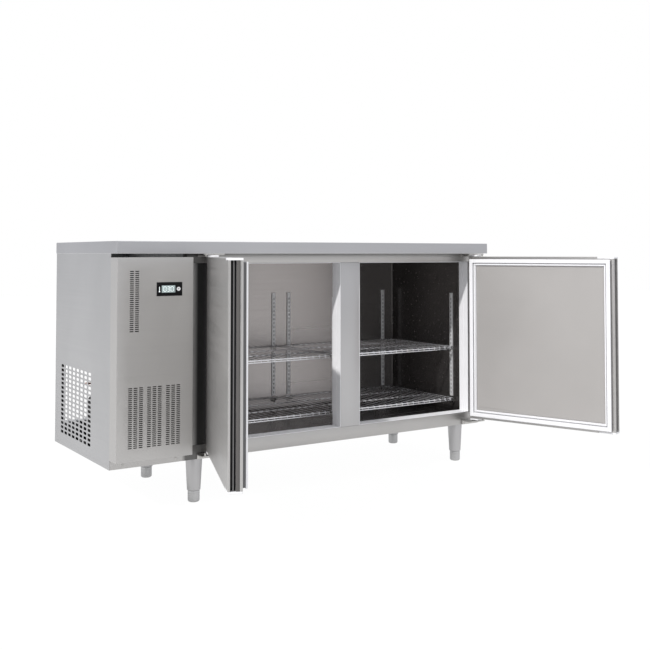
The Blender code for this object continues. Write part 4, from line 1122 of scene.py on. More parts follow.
def handle_lining(side):
    """A dark channel-shaped profile with a grey rib along its middle."""
    inner, outer = FREE_EDGE - CHANNEL + 0.3 * mm, FREE_EDGE - LINING_MOUTH
    first, last = FACE + LIP_BAND + 0.2 * mm, FACE + STEP_BAND - 0.2 * mm
    height = (BOTTOM + CAP_HEIGHT + 0.3 * mm, TOP - CAP_HEIGHT - 0.3 * mm)
    lining = door_slab(side, side + "_handle_lining", (inner, outer), (first, last), height)
    hollow = door_slab(side, "hollow", (inner + LINING, outer + mm), (first + LINING, last - LINING),
                       (height[0] - mm, height[1] + mm))
    carve(lining, hollow)
    soften(lining, 0.3 * mm, 1)
    hang(side, lining, "black_plastic", BLACK_PLASTIC)
    rib = door_slab(side, side + "_handle_rib", (inner + LINING + 0.1 * mm, FREE_EDGE - RIB_MOUTH),
                    (FACE + RIB[0], FACE + RIB[1]), height)
    soften(rib, 1.2 * mm, 3, running("z"))
    hang(side, rib, "grey_plastic", RIB_GREY)
    # A dark grey strip over the step: painted shade where the steel step would lie in shade.
    strip = door_slab(side, side + "_handle_strip", (FREE_EDGE - STEP_BACK + 0.3 * mm, FREE_EDGE - 1.5 * mm),
                      (FACE + STEP_BAND + 0.3 * mm, FACE + SHOULDER_BAND - 0.3 * mm), height)
    soften(strip, 1 * mm, 3, running("z"))
    hang(side, strip, "grey_plastic", STEP_SHADE_GREY)


def end_caps(side):
    """White plugs that close the channel's ends and turn over the door's corner."""
    for name, end, inner in (("lower", BOTTOM, BOTTOM + CAP_HEIGHT), ("upper", TOP, TOP - CAP_HEIGHT)):
        cap = door_slab(side, f"{side}_{name}_end_cap", (FREE_EDGE - CAP_LENGTH + 0.2 * mm, FREE_EDGE),
                        (FACE, BACK), sorted((end, inner)))
        soften(cap, 1.4 * mm, 3, lambda way, middle: abs(way.z) > 0.9 or abs(middle.z - end) < 1e-5)
        hang(side, cap, "white_plastic", WHITE_PLASTIC)


for side in SIDES:
    handle_lining(side)
    end_caps(side)
print("linings and caps on both doors")

# %% [markdown]
# The door's inner side is a pressed sheet. Its rim lies flat under the gasket and its middle stands
# a little proud, which stiffens it. Two insets on one plane make the form, the second with height,
# and the fold lines are then rounded.

# %% The inner panel
panel_low, panel_high = door_box("left", "inner_panel")
gasket_low, gasket_high = door_box("left", "gasket")
GASKET_WIDTH = 24 * mm
DISH = (4 * mm, 3 * mm)


def upright_plane(name, low, high, y):
    """A flat rectangle that faces the back, from its x and z limits."""
    begin()
    bpy.ops.mesh.primitive_plane_add(size=1, rotation=(-math.pi / 2, 0, 0))
    plane = bpy.context.object
    plane.scale = (high.x - low.x, high.z - low.z, 1)
    plane.location = ((low.x + high.x) / 2, y, (low.z + high.z) / 2)
    return named(name)


def mirrored(side, low, high):
    """The same x and z limits on either door."""
    if side == "left":
        return low, high
    return Vector((-high.x, low.y, low.z)), Vector((-low.x, high.y, high.z))


def inner_panel(side):
    low, high = mirrored(side, panel_low, panel_high)
    sheet = upright_plane(side + "_door_dish", low, high, BACK + 0.3 * mm)
    faces(sheet, lambda normal, middle: True)
    bpy.ops.mesh.inset(thickness=GASKET_WIDTH, depth=0)
    bpy.ops.mesh.inset(thickness=DISH[0], depth=DISH[1])
    centre_x = (low.x + high.x) / 2
    inside = (high.x - low.x) / 2 - GASKET_WIDTH - DISH[0] - mm
    soften(sheet, 2.5 * mm, 4, lambda way, middle: (
        low.z + 2 * mm < middle.z < high.z - 2 * mm and abs(middle.x - centre_x) < inside + DISH[0] + 2 * mm))
    thicken(sheet, SHEET)
    return hang(side, sheet, "panel_steel", PANEL_STEEL[side], side + "_door_inner_panel", smooth=60)


for side in SIDES:
    inner_panel(side)
    keep(side + "_door_foam", FOAM)
print("inner panels stand", round(DISH[1] * 1000), "mm proud")

# %% [markdown]
# ## Gaskets
#
# A magnetic gasket is a soft extrusion welded at four mitred corners. Grey bellows, their grey a painted
# shade for the recess under the bulb, carry a fat white bulb that holds the magnet, and inside it stand
# a flat foot and a thin lip. Each is a ring: a plane is inset, its middle is deleted, the ring is
# extruded, and the top edges are rolled.

# %% The gaskets
GASKET_RINGS = {
    "foot": (12.5 * mm, 11.5 * mm, 0, 3.5 * mm, 0.8 * mm),
    "bulb": (0, 14 * mm, 7.4 * mm, 13.1 * mm, 2.4 * mm),
    "lip": (17.5 * mm, 5 * mm, 3.4 * mm, 9 * mm, 1.8 * mm),
}
BELLOWS = (2 * mm, 10 * mm, 0, 7.3 * mm, 0.5 * mm)


def ring_of(name, low, high, y, inset, width, start, end, roll):
    inner = Vector((inset, 0, inset))
    made = upright_plane(name, low + inner, high - inner, y + start)
    faces(made, lambda normal, middle: True)
    bpy.ops.mesh.inset(thickness=width, depth=0)
    bpy.ops.mesh.delete(type="FACE")
    faces(made, lambda normal, middle: True)
    bpy.ops.mesh.extrude_region_move(TRANSFORM_OT_translate={"value": (0, end - start, 0)})
    top = y + end
    return soften(made, roll, 4, lambda way, middle: middle.y > top - 1e-5 and max(abs(way.x),
                                                                                   abs(way.z)) > 0.99)


def gasket(side):
    low, high = mirrored(side, gasket_low, gasket_high)
    rings = [ring_of(part, low, high, gasket_low.y, *sizes) for part, sizes in GASKET_RINGS.items()]
    made = together(side + "_gasket", rings)
    hang(side, made, "white_plastic", WHITE_RUBBER, side + "_door_gasket", smooth=50)
    # The bellows ring is grey as painted shade for the recess under the bulb.
    bellows = ring_of(side + "_gasket_bellows", low, high, gasket_low.y, *BELLOWS)
    hang(side, bellows, "black_plastic", BELLOWS_SHADE_GREY)


for side in SIDES:
    gasket(side)
print("gaskets", round((gasket_high.y - gasket_low.y) * 1000, 1), "mm tall")

# %% [markdown]
# ## Hinges and screws
#
# Each hinge is a zinc-plated angle bracket under or over the door's corner. A pivot pin stands in a
# boss, and a second short pin stops the door. The door carries a white bearing block with a hole that
# turns about the boss. Countersunk cross-head screws fix the brackets, and two more hold the cover.

# %% One screw, modelled once
SCREW_RADIUS = 4.2 * mm


def screw_head():
    """A raised countersunk head that faces the user, at the origin."""
    head = rod("screw", (0, 0, 0), SCREW_RADIUS, 1.6 * mm, "y", 24)
    soften(head, 0.9 * mm, 3, lambda way, middle: middle.y < -0.7 * mm)
    for size in ((2.4 * mm, 0.45 * mm), (0.45 * mm, 2.4 * mm)):
        carve(head, slab("cross", (-size[0], -2 * mm, -size[1]), (size[0], -0.1 * mm, size[1])))
    return head


screw = screw_head()
screw_places = []
print("screw", len(screw.data.polygons), "faces")

# %% The brackets
PLATE = 4 * mm
STOP_PIN = (30 * mm, -11 * mm)


def bracket(side, level):
    """An angle bracket from its node's box, with its boss, pivot pin and stop pin."""
    node = f"{side}_{level}_hinge"
    low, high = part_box(node)
    pin = PINS[side]
    outward = -SIDES[side]
    if level == "lower":
        plate_z, door_edge, way = (low.z + BRACKET_LEG, low.z + BRACKET_LEG + PLATE), BOTTOM, 1
        leg_z = (low.z, low.z + BRACKET_LEG + PLATE)
    else:
        plate_z, door_edge, way = (high.z - PLATE, high.z), TOP, -1
        leg_z = (TOP + 0.6 * mm, high.z)
    made = slab(node + "_bracket", (low.x, low.y, plate_z[0]), (high.x, high.y, plate_z[1]))
    soften(made, 6 * mm, 4, lambda way, middle: abs(way.z) > 0.9 and middle.y < low.y + mm)
    carve(made, slab("leg", (low.x, high.y - PLATE, leg_z[0]), (high.x, high.y, leg_z[1])), "UNION")
    soften(made, 0.5 * mm, 2)
    start = sum(plate_z) / 2
    stop_end = door_edge - way * 1.2 * mm
    turned_parts = (
        (pin.x, pin.y, 8 * mm, door_edge - way * 0.8 * mm),
        (pin.x, pin.y, 4 * mm, door_edge + way * 10 * mm),
        (pin.x + outward * STOP_PIN[0], pin.y + STOP_PIN[1], 3.2 * mm, stop_end),
    )
    pins = []
    for x, y, radius, end in turned_parts:
        post = rod("post", (x, y, (start + end) / 2), radius, abs(end - start), "z", 28)
        pins.append(soften(post, 0.6 * mm, 2))
    settle(together(node + "_zinc", [made, *pins]), "zinc_plated", ZINC, node)
    if level == "lower":
        screw_z = low.z + BRACKET_LEG * 0.5
        screw_places.extend((pin.x + x, high.y - PLATE - 0.5 * mm, screw_z) for x in (-26 * mm, 26 * mm))


BRACKET_LEG = BOTTOM - 15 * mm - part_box("left_lower_hinge")[0].z
for side in SIDES:
    for level in ("lower", "upper"):
        bracket(side, level)

# %% The white bearing blocks on the doors
BLOCK_LENGTH = 34 * mm
BLOCK_HEIGHTS = {"lower": (BOTTOM - 7.5 * mm, BOTTOM - 0.3 * mm), "upper": (TOP + 0.3 * mm, TOP + 6.2 * mm)}

for side in SIDES:
    for level, height in BLOCK_HEIGHTS.items():
        block = door_slab(side, f"{side}_{level}_bearing_block", (HINGE_EDGE, HINGE_EDGE + BLOCK_LENGTH),
                          (FACE + 0.5 * mm, BACK - 4 * mm), height)
        soften(block, 3 * mm, 3, running("z"))
        soften(block, 0.5 * mm, 2)
        carve(block, rod("bore", (0, 0, sum(height) / 2), 8.5 * mm, 20 * mm, "z", 32))
        hang(side, block, "white_plastic", WHITE_PLASTIC)
print("bearing blocks", round(BLOCK_LENGTH * 1000), "mm long")

# %% Screws in their places
COVER_SCREWS = (44.4 * mm, 220.4 * mm)
rail_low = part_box("bottom_rail")[0]
screw_places.extend((WORKTOP_LEFT + x, rail_low.y - 0.6 * mm, rail_low.z + 11 * mm) for x in COVER_SCREWS)
heads = [twin(screw, "screw_head", place) for place in screw_places]
bpy.data.objects.remove(screw)
settle(together("front_screws", heads), "zinc_plated", ZINC)
print(len(screw_places), "screws in front")

# %% [markdown]
# ## Legs and feet
#
# A leg is a tapered steel tube with a flange on top, and a round foot on a threaded stem screws out
# of it to level the cabinet. A cone primitive gives the taper, and the mouth is inset and pushed
# up, so the tube is hollow where the foot goes in. The foot's rounded tread is a bevel.

# %% Legs and feet
CORNERS = [f"{row}_{column}" for row in ("front", "rear") for column in ("left", "right")]
SIDES_ROUND = 64
LEG_TOP, LEG_MOUTH = 28 * mm, 22 * mm
LEG_RIM = 4 * mm
TREAD = 6.8 * mm


def leg(corner):
    low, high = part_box(corner + "_leg")
    centre = (low + high) / 2
    begin()
    bpy.ops.mesh.primitive_cone_add(
        vertices=SIDES_ROUND, radius1=LEG_MOUTH, radius2=LEG_TOP, depth=high.z - low.z, location=centre
    )
    tube = named(corner + "_leg_tube")
    faces(tube, lambda normal, middle: normal.z < -0.9)
    bpy.ops.mesh.inset(thickness=2 * mm, depth=0)
    bpy.ops.mesh.inset(thickness=0.5 * mm, depth=-12 * mm)
    soften(tube, 0.8 * mm, 3, lambda way, middle: abs(way.z) < 0.1 and (
        middle.z > high.z - 1e-5 or middle.z < low.z + 1e-5) and
        (middle - centre).xy.length > LEG_MOUTH * 0.9)
    collar = rod("collar", (centre.x, centre.y, high.z - LEG_RIM / 2 - 0.1 * mm), LEG_TOP + 0.8 * mm,
                 LEG_RIM, "z",
                 SIDES_ROUND)
    soften(collar, 0.8 * mm, 3)
    settle(together(tube.name, [tube, collar]), "panel_steel", POST_STEEL, corner + "_leg")


def foot(corner):
    low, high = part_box(corner + "_foot")
    centre = (low + high) / 2
    radius = (high.x - low.x) / 2
    top = 38 * mm
    pad = rod(corner + "_foot_pad", (centre.x, centre.y, top / 2), radius, top, "z", SIDES_ROUND)
    soften(pad, TREAD, 6, lambda way, middle: abs(way.z) < 0.1 and middle.z < 1e-5)
    soften(pad, 1 * mm, 3, lambda way, middle: abs(way.z) < 0.1 and middle.z > top - 1e-5)
    groove = rod("groove", (centre.x, centre.y, top - 8 * mm), radius + 2 * mm, 1.2 * mm, "z", SIDES_ROUND)
    core = rod("core", (centre.x, centre.y, top - 8 * mm), radius - 0.7 * mm, 4 * mm, "z", SIDES_ROUND)
    carve(groove, core)
    carve(pad, groove)
    stem = rod("stem", (centre.x, centre.y, (top + high.z) / 2), 6 * mm, high.z - top, "z", 24)
    threads = in_a_row(ring("thread", (centre.x, centre.y, top + 1 * mm), 5.9 * mm, 0.5 * mm, "z", 24, 6),
                       int((high.z - top) / (1.5 * mm)), (0, 0, 1.5 * mm))
    made = together(pad.name, [pad, stem, threads])
    settle(made, "zinc_plated", FOOT_STEEL, corner + "_foot", body=corner + "_foot_body")


FOOT_STEEL = plated("foot_steel", (0.60, 0.60, 0.60), 0.38, patch=50)
for corner in CORNERS:
    leg(corner)
    foot(corner)
print("legs at", CORNERS)

# %% [markdown]
# ## Shelf standards and clips
#
# Slotted steel strips carry the shelves: two on the back wall for each shelf, one on each end wall
# near the front, and two on the back of the mullion. Slots every 16 mm let a clip hook in at any
# height. One strip is punched, then copied, turned and moved to all eight places.

# %% The strips
STRIP = (15 * mm, 4.5 * mm)
STRIP_SLOT = (4 * mm, 9 * mm)
STRIP_PITCH = 16 * mm

strip_low, strip_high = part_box("left_inner_standard")
strip_length = strip_high.z - strip_low.z


def strip():
    """A shallow channel with its face towards the user, standing on the origin."""
    half = STRIP[0] / 2
    made = slab("strip", (-half, 0, 0), (half, STRIP[1], strip_length))
    soften(made, 0.6 * mm, 2, lambda way, middle: abs(way.z) > 0.9 and middle.y < 1e-5)
    carve(made, slab("hollow", (-half + mm, mm, -mm), (half - mm, STRIP[1] + mm, strip_length + mm)))
    slot = slab("slot", (-STRIP_SLOT[0] / 2, -mm, 10 * mm),
                (STRIP_SLOT[0] / 2, 3 * mm, 10 * mm + STRIP_SLOT[1]))
    soften(slot, 1.2 * mm, 2, running("y"))
    in_a_row(slot, int((strip_length - 15 * mm) / STRIP_PITCH), (0, 0, STRIP_PITCH))
    return carve(made, slot)


pattern = strip()
shelf_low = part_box("left_upper_shelf")[0]
mullion_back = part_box("centre_mullion")[1].y
end_y = shelf_low.y + 22 * mm
strip_places = []
for side in ("left", "right"):
    for place in ("outer", "inner"):
        node = f"{side}_{place}_standard"
        low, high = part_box(node)
        back_x = (low.x + high.x) / 2
        piece = twin(pattern, node + "_strip", (back_x, low.y, low.z))
        settle(piece, "liner_steel", STANDARD_STEEL, node)
        strip_places.append((back_x, low.y, 0.0))
        if place == "inner":
            front = (back_x, mullion_back + STRIP[1] + 0.3 * mm, math.pi)
        else:
            wall = liner_low.x if side == "left" else liner_high.x
            reach = STRIP[1] + 0.3 * mm
            front = (wall + reach, end_y, math.pi / 2) if side == "left" else (wall - reach, end_y,
                                                                               -math.pi / 2)
        piece = twin(pattern, f"front_{side}_{place}_strip", (front[0], front[1], low.z), front[2])
        settle(piece, "liner_steel", STANDARD_STEEL)
        strip_places.append(front)
bpy.data.objects.remove(pattern)
print("strips:", len(strip_places))

# %% The clips
CLIP = (9 * mm, 20 * mm, 16 * mm)
LEVELS = {level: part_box(f"left_{level}_shelf")[0].z for level in ("lower", "upper")}


def clip():
    """A small wedge that hooks in a slot: flat on top, slanting back to the strip below."""
    made = slab("clip", (-CLIP[0] / 2, -CLIP[1], -CLIP[2]), (CLIP[0] / 2, 0, 0))
    edges(made, lambda way,
          middle: abs(way.x) > 0.9 and middle.z < -CLIP[2] + 1e-5 and middle.y < -CLIP[1] + 1e-5)
    bpy.ops.transform.translate(value=(0, CLIP[1] * 0.8, 0))
    soften(made, 0.8 * mm, 2)
    hook = slab("hook", (-CLIP[0] / 2, -CLIP[1], -1 * mm), (CLIP[0] / 2, -CLIP[1] + 2 * mm, 3.5 * mm))
    soften(hook, 0.5 * mm, 2)
    return together("clip", [made, hook])


clip_shape = clip()
clips = []
for x, y, turn in strip_places:
    for level, under in LEVELS.items():
        clips.append(twin(clip_shape, "shelf_clip", (x, y, under - 1.2 * mm), turn))
bpy.data.objects.remove(clip_shape)
settle(together("shelf_clips", clips), "zinc_plated", ZINC)
print("clips:", len(strip_places) * len(LEVELS))

# %% [markdown]
# ## Wire shelves
#
# A wire shelf is welded from round rods: heavy wires run across, thin ones run from front to back on
# top of them, and the thin ones turn down in front to a lower edge wire. The rods are cylinders with rounded
# ends, repeated by Array. Chrome on round wire gives each rod its own thin highlight, which a flat
# grid can't.

# %% The shelves
HEAVY, THIN = 2.6 * mm, 1.5 * mm
CROSS_WIRES = 4
THIN_PITCH = 26.5 * mm
FRONT_DROP = 13 * mm


def wire(name, start, end, radius, sides=10):
    """A straight rod between two points on a line along x, y or z, with softened ends."""
    start, end = Vector(start), Vector(end)
    along = end - start
    axis = "xyz"[max(range(3), key=lambda i: abs(along[i]))]
    made = rod(name, (start + end) / 2, radius, along.length, axis, sides)
    return soften(made, radius * 0.6, 1, lambda way, middle: (
        min((middle - start).length, (middle - end).length) < radius * 1.01))


def wire_shelf(node):
    low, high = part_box(node)
    heavy_z = high.z - 2 * THIN - HEAVY
    thin_z = high.z - THIN
    cross = wire("cross", (low.x, low.y + HEAVY, heavy_z), (high.x, low.y + HEAVY, heavy_z), HEAVY, 12)
    in_a_row(cross, CROSS_WIRES, (0, (high.y - low.y - 2 * HEAVY) / (CROSS_WIRES - 1), 0))
    edge_z = high.z - FRONT_DROP
    edge = wire("edge", (low.x, low.y + THIN, edge_z), (high.x, low.y + THIN, edge_z), 2 * mm, 12)
    ends = [
        wire("end", (x, low.y + mm, heavy_z), (x, high.y - mm, heavy_z), HEAVY, 12)
        for x in (low.x + HEAVY, high.x - HEAVY)
    ]
    count = int((high.x - low.x - 12 * mm) / THIN_PITCH)
    first = (low.x + high.x - count * THIN_PITCH) / 2
    thin = wire("thin", (first, low.y + THIN, thin_z), (first, high.y - THIN, thin_z), THIN)
    drop = wire("drop", (first, low.y + THIN * 0.6, edge_z), (first, low.y + THIN * 0.6, thin_z), THIN)
    in_a_row(thin, count + 1, (THIN_PITCH, 0, 0))
    in_a_row(drop, count + 1, (THIN_PITCH, 0, 0))
    made = together(node + "_wires", [cross, edge, *ends, thin, drop])
    return settle(made, "chromed_wire", CHROME, node, body=node + "_body", smooth=50)


for side in ("left", "right"):
    for level in LEVELS:
        wire_shelf(f"{side}_{level}_shelf")
print("shelf wires", round(THIN_PITCH * 1000, 1), "mm apart")

# %% [markdown]
# ## Evaporator
#
# The cold comes from a finned coil on the left wall of the cold space. A fan pulls air through the
# coil and blows it out of a round mouth in a steel cover, and a pan under it catches the water. A
# finned coil is hundreds of thin plates pressed on copper tube, so one plate is repeated by Array,
# and half rings make the bends that join the tubes at the ends.

# %% A finned coil
FIN = 0.25 * mm
FIN_PITCH = 4 * mm
TUBE = 4.2 * mm
TUBE_PITCH = 24 * mm


def finned_coil(node, along):
    """Fins across one axis of a node's box, with end plates and copper bends."""
    low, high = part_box(node)
    i = "xyz".index(along)
    across = 1 - i
    reach = 10 * mm
    start, end = low[i] + reach, high[i] - reach

    def plate(name, at, thickness, margin):
        first, last = low.copy(), high.copy()
        first[i], last[i] = at, at + thickness
        first[across] += margin
        last[across] -= margin
        return slab(name, first, last)

    step = [0, 0, 0]
    step[i] = FIN_PITCH
    fins = in_a_row(plate("fins", start + 3 * mm, FIN, 0.5 * mm), int((end - start - 4 * mm) / FIN_PITCH),
                    step)
    settle(fins, "fin_aluminium", ALUMINIUM, node)
    ends = [soften(plate("end", at, 1.2 * mm, 0), 0.3 * mm, 1) for at in (start, end)]
    settle(together(node + "_end_plates", ends), "galvanised", GALVANISED)
    bends = []
    rows = int((high.z - low.z - TUBE_PITCH) / TUBE_PITCH)
    middle = (low[across] + high[across]) / 2
    for row in range(rows):
        for at in (start - 1 * mm, end + 2 * mm):
            place = [0, 0, low.z + TUBE_PITCH * (row + 1)]
            place[i], place[across] = at, middle
            arch = ring("bend", place, min(8 * mm, reach - TUBE), TUBE * 0.7, "z", 24, 8)
            bends.append(arch)
    settle(together(node + "_bends", bends), "copper", COPPER)
    print(node, len(fins.data.polygons) // 6, "fins")


finned_coil("evaporator_coil", "y")

# %% [markdown]
# ## Fans
#
# Both fans are moulded: a hub with blades that are curved and twisted from root to tip. A blade is a
# flat grid stood off from the hub, twisted about its own length with Simple Deform and thickened. It
# is copied round the hub, and the whole is turned from the z axis to the shaft's axis at the end.

# %% A moulded fan
BLADES = 5
BLADE_THICKNESS = 1.6 * mm
BLADE_TWIST = math.radians(-16)
BLADE_PITCH = math.radians(26)


def fan_blade(radius, hub):
    begin()
    bpy.ops.mesh.primitive_grid_add(x_subdivisions=8, y_subdivisions=8, size=1)
    blade = bpy.context.object
    blade.scale = (radius * 0.5, radius - hub * 0.8, 1)
    blade.location = (0, (radius + hub * 0.8) / 2, 0)
    blade = named("blade")
    faces(blade, lambda normal, middle: True)
    bpy.ops.transform.rotate(value=BLADE_PITCH, orient_axis="Y", center_override=(0, 0, 0))
    begin()
    modify(blade, "SIMPLE_DEFORM", deform_method="TWIST", deform_axis="Y", angle=BLADE_TWIST)
    edges(blade, lambda way, middle: middle.xy.length > radius * 0.96)
    bpy.ops.transform.resize(value=(0.72, 0.97, 0.8), center_override=(0, 0, 0))
    begin()
    thicken(blade, BLADE_THICKNESS)
    return soften(blade, BLADE_THICKNESS * 0.3, 1)


def fan(node, axis, body):
    """The rotor of one fan, in the place and on the axis of its node."""
    low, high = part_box(node)
    centre = joint_place(body)
    i = "xyz".index(axis)
    radius = max((high[n] - low[n]) / 2 for n in range(3) if n != i) * 0.985
    hub_radius, hub_length = radius * 0.24, 15 * mm
    hub = rod("hub", (0, 0, 0), hub_radius, hub_length, "z", 40)
    soften(hub, 2.5 * mm, 3)
    nut = rod("nut", (0, 0, hub_length / 2), 4 * mm, 3 * mm, "z", 6)
    first = fan_blade(radius, hub_radius)
    blades = [twin(first, "blade", turn=2 * math.pi * n / BLADES) for n in range(BLADES)]
    bpy.data.objects.remove(first)
    made = together(node + "_moulding", [hub, nut, *blades])
    begin()
    made.select_set(True)
    bpy.context.view_layer.objects.active = made
    made.rotation_euler = AXIS_TURN[axis]
    made.location = centre
    bpy.ops.object.transform_apply(location=True, rotation=True, scale=True)
    return settle(made, "black_plastic", BLACK_PLASTIC, node, body=body)


def wire_guard(name, centre, axis, radii, wire, slot, material):
    """Rings of wire round a shaft, tied by four spokes."""
    pieces = [ring("guard", centre, radius, wire, axis, 48, 8) for radius in radii]
    i = "xyz".index(axis)
    for n in [n for n in range(3) if n != i]:
        for sign in (-1, 1):
            place = Vector(centre)
            place[n] += sign * (radii[0] + radii[-1]) / 2
            place[i] += wire
            pieces.append(rod("spoke", place, wire, radii[-1] - radii[0], "xyz"[n], 8))
    return settle(together(name, pieces), slot, material)


fan("evaporator_fan", "x", "evaporator_rotor")
fan("condenser_fan", "y", "condenser_rotor")
print("fans with", BLADES, "blades each")

# %% The evaporator's cover, mouth guard, motor and pan
COVER_WIRE = 1.1 * mm

settle(refined("evaporator_cover", 0.7 * mm, 2), "liner_steel", POST_STEEL, "evaporator_cover")
settle(refined("condensate_pan", 0.3 * mm, 1), "white_plastic", WHITE_PLASTIC, "condensate_pan")
cover_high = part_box("evaporator_cover")[1]
rotor_low, rotor_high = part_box("evaporator_fan")
hub_centre = (rotor_low + rotor_high) / 2
mouth = (cover_high.x + COVER_WIRE, hub_centre.y, hub_centre.z)
wire_guard("evaporator_mouth_guard", mouth, "x", [r * mm for r in (8, 20, 32, 44, 56, 66)], COVER_WIRE,
           "chromed_wire", CHROME)


def motor(node, axis):
    """A small motor: a ribbed drum."""
    low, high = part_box(node)
    i = "xyz".index(axis)
    radius = (high.x - low.x) / 2 if axis == "y" else (high.y - low.y) / 2
    centre = (low + high) / 2
    if axis == "y":
        centre.z = high.z - radius
    length = high[i] - low[i]
    drum = soften(rod("drum", centre, radius * 0.96, length, axis, 48), 2 * mm, 3)
    ribs = [soften(rod("rib", centre + Vector([s if n == i else 0 for n in range(3)]), radius,
                       length * 0.12, axis, 48),
                   0.8 * mm, 2) for s in (-length * 0.28, 0, length * 0.28)]
    return together(node + "_drum", [drum, *ribs]), centre


drum = motor("evaporator_fan_motor", "x")[0]
settle(drum, "black_enamel", BLACK_ENAMEL, "evaporator_fan_motor")
print("evaporator mouth at z", round(hub_centre.z, 3))

# %% [markdown]
# ## Machine bay
#
# The bay is open at the back. Its condenser stands right behind the lower louvres, and a fan in a
# steel shroud draws air through it and over the compressor. The compressor is a drum with a domed
# lid, welded round the middle, on a plate with rubber feet.

# %% Condenser, shroud and motor
finned_coil("condenser_coil", "x")
settle(refined("condenser_shroud", 0.5 * mm, 2), "black_enamel", BLACK_ENAMEL, "condenser_shroud")
drum, centre = motor("condenser_fan_motor", "y")
stand_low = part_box("condenser_fan_motor")[0]
stand = slab("stand", (centre.x - 12 * mm, centre.y, stand_low.z),
             (centre.x + 12 * mm, centre.y + 18 * mm, centre.z))
soften(stand, 1 * mm)
settle(together("condenser_motor_on_stand", [drum, stand]), "black_enamel", BLACK_ENAMEL,
       "condenser_fan_motor")
guard_place = (centre.x, stand_low.y + 4 * mm, centre.z)
wire_guard("condenser_fan_guard", guard_place, "y", [r * mm for r in (38, 52, 66, 80, 95)], 1.2 * mm,
           "zinc_plated", ZINC)
print("condenser fan guard", round(guard_place[1], 3))

# %% The compressor
DOME = 42 * mm

low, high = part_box("compressor")
middle = (low + high) / 2
plate_z = low.z + 7 * mm
drum_radius = (high.x - low.x) / 2 - 15 * mm
shell = rod("compressor_shell", (middle.x, middle.y, (plate_z + high.z) / 2), drum_radius, high.z - plate_z,
            "z", 64)
soften(shell, DOME, 10, lambda way, middle: abs(way.z) < 0.1 and middle.z > high.z - 1e-5)
soften(shell, 12 * mm, 5, lambda way, middle: abs(way.z) < 0.1 and middle.z < plate_z + 1e-5)
seam = ring("seam", (middle.x, middle.y, plate_z + 70 * mm), drum_radius, 1.6 * mm, "z", 64, 8)
settle(together("compressor_drum", [shell, seam]), "black_enamel", BLACK_ENAMEL, "compressor")

plate = slab("compressor_plate", (low.x, low.y, plate_z - 2.5 * mm), (high.x, high.y, plate_z + 2.5 * mm))
soften(plate, 12 * mm, 4, running("z"))
soften(plate, 0.5 * mm, 2)
settle(plate, "black_enamel", BLACK_ENAMEL)
bushes, bolts = [], []
for x in (low.x + 13.5 * mm, high.x - 13.5 * mm):
    for y in (low.y + 13.5 * mm, high.y - 13.5 * mm):
        bushes.append(soften(rod("bush", (x, y, low.z + 7 * mm), 9 * mm, 14 * mm, "z", 32), 1.5 * mm, 3))
        bolts.append(soften(rod("bolt", (x, y, low.z + 16 * mm), 5.5 * mm, 4 * mm, "z", 6), 0.5 * mm, 1))
settle(together("compressor_bushes", bushes), "black_plastic", BLACK_RUBBER)
settle(together("compressor_bolts", bolts), "zinc_plated", ZINC)
terminals = slab("terminal_cover", (middle.x + drum_radius - 6 * mm, middle.y - 26 * mm, plate_z + 60 * mm),
                 (middle.x + drum_radius + 16 * mm, middle.y + 26 * mm, plate_z + 120 * mm))
soften(terminals, 3 * mm, 3)
settle(terminals, "black_plastic", BLACK_PLASTIC)
print("compressor", round(drum_radius * 2000), "mm across")

# %% The electric box and the cable gland
low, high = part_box("control_box")
box = refined("control_box", 1.2 * mm, 3)


def sleeve(name, out, start, end):
    """A block round the box, wider by `out`, from `start` to `end` ahead of its back."""
    grow = Vector((out, 0, out))
    first, last = low - grow, high + grow
    first.y, last.y = high.y - start, high.y - end
    return slab(name, first, last)


lid = sleeve("lid", 0.8 * mm, 22 * mm, 2 * mm)
carve(lid, sleeve("room", 0.1 * mm, 30 * mm, 1 * mm))
soften(lid, 0.3 * mm, 1)
settle(together("control_box_case", [box, lid]), "grey_plastic", GREY_ENAMEL, "control_box")
box_screws = []
for x in (low.x + 10 * mm, high.x - 10 * mm):
    for z in (low.z + 10 * mm, high.z - 10 * mm):
        box_screws.append(soften(rod("screw", (x, high.y + 0.4 * mm, z), 3.5 * mm, 1.6 * mm, "y", 20),
                                 0.5 * mm, 2))
settle(together("control_box_screws", box_screws), "zinc_plated", ZINC)

low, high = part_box("cable_gland")
middle = (low + high) / 2
radius = (high.x - low.x) / 2
body_part = rod("gland", (middle.x, (low.y + high.y) / 2, middle.z), radius * 0.82, high.y - low.y, "y", 32)
soften(body_part, 1.2 * mm, 3)
nuts = [soften(rod("nut", (middle.x, y, middle.z), radius, 6 * mm, "y", 6), 0.6 * mm, 2)
        for y in (low.y + 3.2 * mm, high.y - 9 * mm)]
gland = together("cable_gland_body", [body_part, *nuts])
carve(gland, rod("bore", (middle.x, high.y, middle.z), radius * 0.5, 16 * mm, "y", 24))
settle(gland, "black_plastic", BLACK_PLASTIC, "cable_gland")
print("control box and gland done")

# %% [markdown]
# Copper pipe joins the parts: hot gas goes from the compressor to the condenser, liquid runs through
# the filter drier, and a long thin capillary, wound in a coil, lets it expand. Each pipe is a curve
# with a round section, so its bends stay round, and it is turned into mesh at the end.

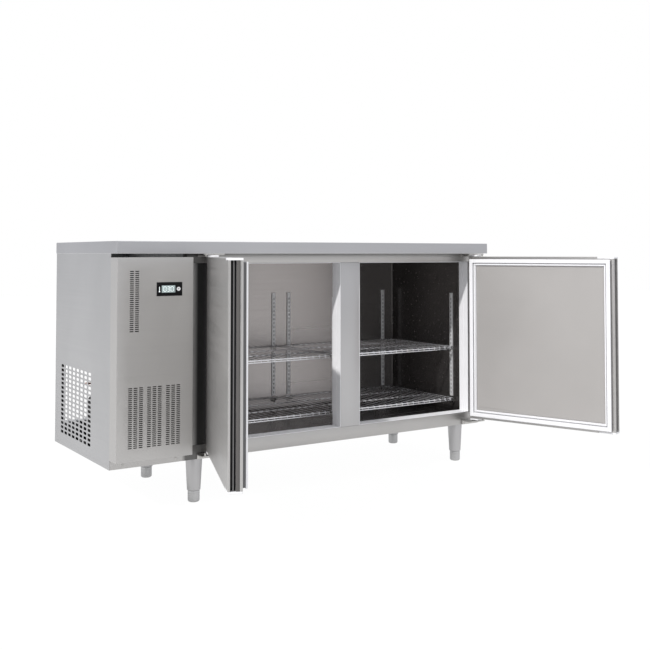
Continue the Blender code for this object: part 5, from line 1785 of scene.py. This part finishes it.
# %% Pipes and the filter drier
def pipe(name, points, radius):
    shape = bpy.data.curves.new(name, "CURVE")
    shape.dimensions = "3D"
    shape.bevel_depth = radius
    shape.bevel_resolution = 3
    shape.resolution_u = 6
    line = shape.splines.new("NURBS")
    line.points.add(len(points) - 1)
    for point, place in zip(line.points, points):
        point.co = (*place, 1)
    line.order_u = 3
    line.use_endpoint_u = True
    made = bpy.data.objects.new(name, shape)
    bpy.context.scene.collection.objects.link(made)
    begin()
    made.select_set(True)
    bpy.context.view_layer.objects.active = made
    bpy.ops.object.convert(target="MESH")
    return made


low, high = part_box("filter_drier")
drier = (low + high) / 2
drier_radius = (high.x - low.x) / 2
drier_half = (high.z - low.z) / 2
barrel = rod("barrel", drier, drier_radius, drier_half * 1.6, "z", 40)
soften(barrel, 6 * mm, 5)
neck = rod("neck", drier, 4 * mm, drier_half * 2, "z", 24)
soften(neck, 0.8 * mm, 2)
settle(together("filter_drier_barrel", [barrel, neck]), "copper", COPPER, "filter_drier")

coil_low, coil_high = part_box("condenser_coil")
drum_low, drum_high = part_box("compressor")
top = drum_high.z
start = Vector(((drum_low.x + drum_high.x) / 2 - 40 * mm, (drum_low.y + drum_high.y) / 2 - 10 * mm,
                top - 12 * mm))
x, y = coil_low.x - 4 * mm, coil_high.y - 20 * mm
hot = pipe("discharge_line", [start, start + Vector((0, 0, 40 * mm)), (x, start.y, top + 40 * mm),
           (x, y, top + 40 * mm), (x, y, coil_high.z - 30 * mm),
           (x + 8 * mm, y, coil_high.z - 34 * mm)], 3 * mm)
x = coil_high.x + 4 * mm
liquid = pipe("liquid_line", [(x - 8 * mm, y, coil_low.z + 24 * mm), (x, y, coil_low.z + 30 * mm),
              (x, y + 60 * mm, coil_low.z + 60 * mm), (drier.x, drier.y, low.z - 60 * mm),
              (drier.x, drier.y, low.z + 1 * mm)], 3 * mm)
turns = []
for n in range(5 * 12 + 1):
    angle = 2 * math.pi * n / 12
    turns.append((drier.x - 26 * mm + 24 * mm * math.cos(angle), drier.y + 24 * mm * math.sin(angle),
                  high.z + 14 * mm + n * 0.4 * mm))
capillary = pipe("capillary", [(drier.x, drier.y, high.z - 1 * mm), (drier.x, drier.y, high.z + 8 * mm),
                               *turns,
                 (drier.x + 6 * mm, drier.y, high.z + 60 * mm),
                 (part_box("base_pan")[0].x - mm, drier.y, high.z + 66 * mm)],
                 1.1 * mm)
settle(together("copper_lines", [hot, liquid, capillary]), "copper", COPPER, smooth=60)
keep("suction_line", COPPER)
print("pipes joined")
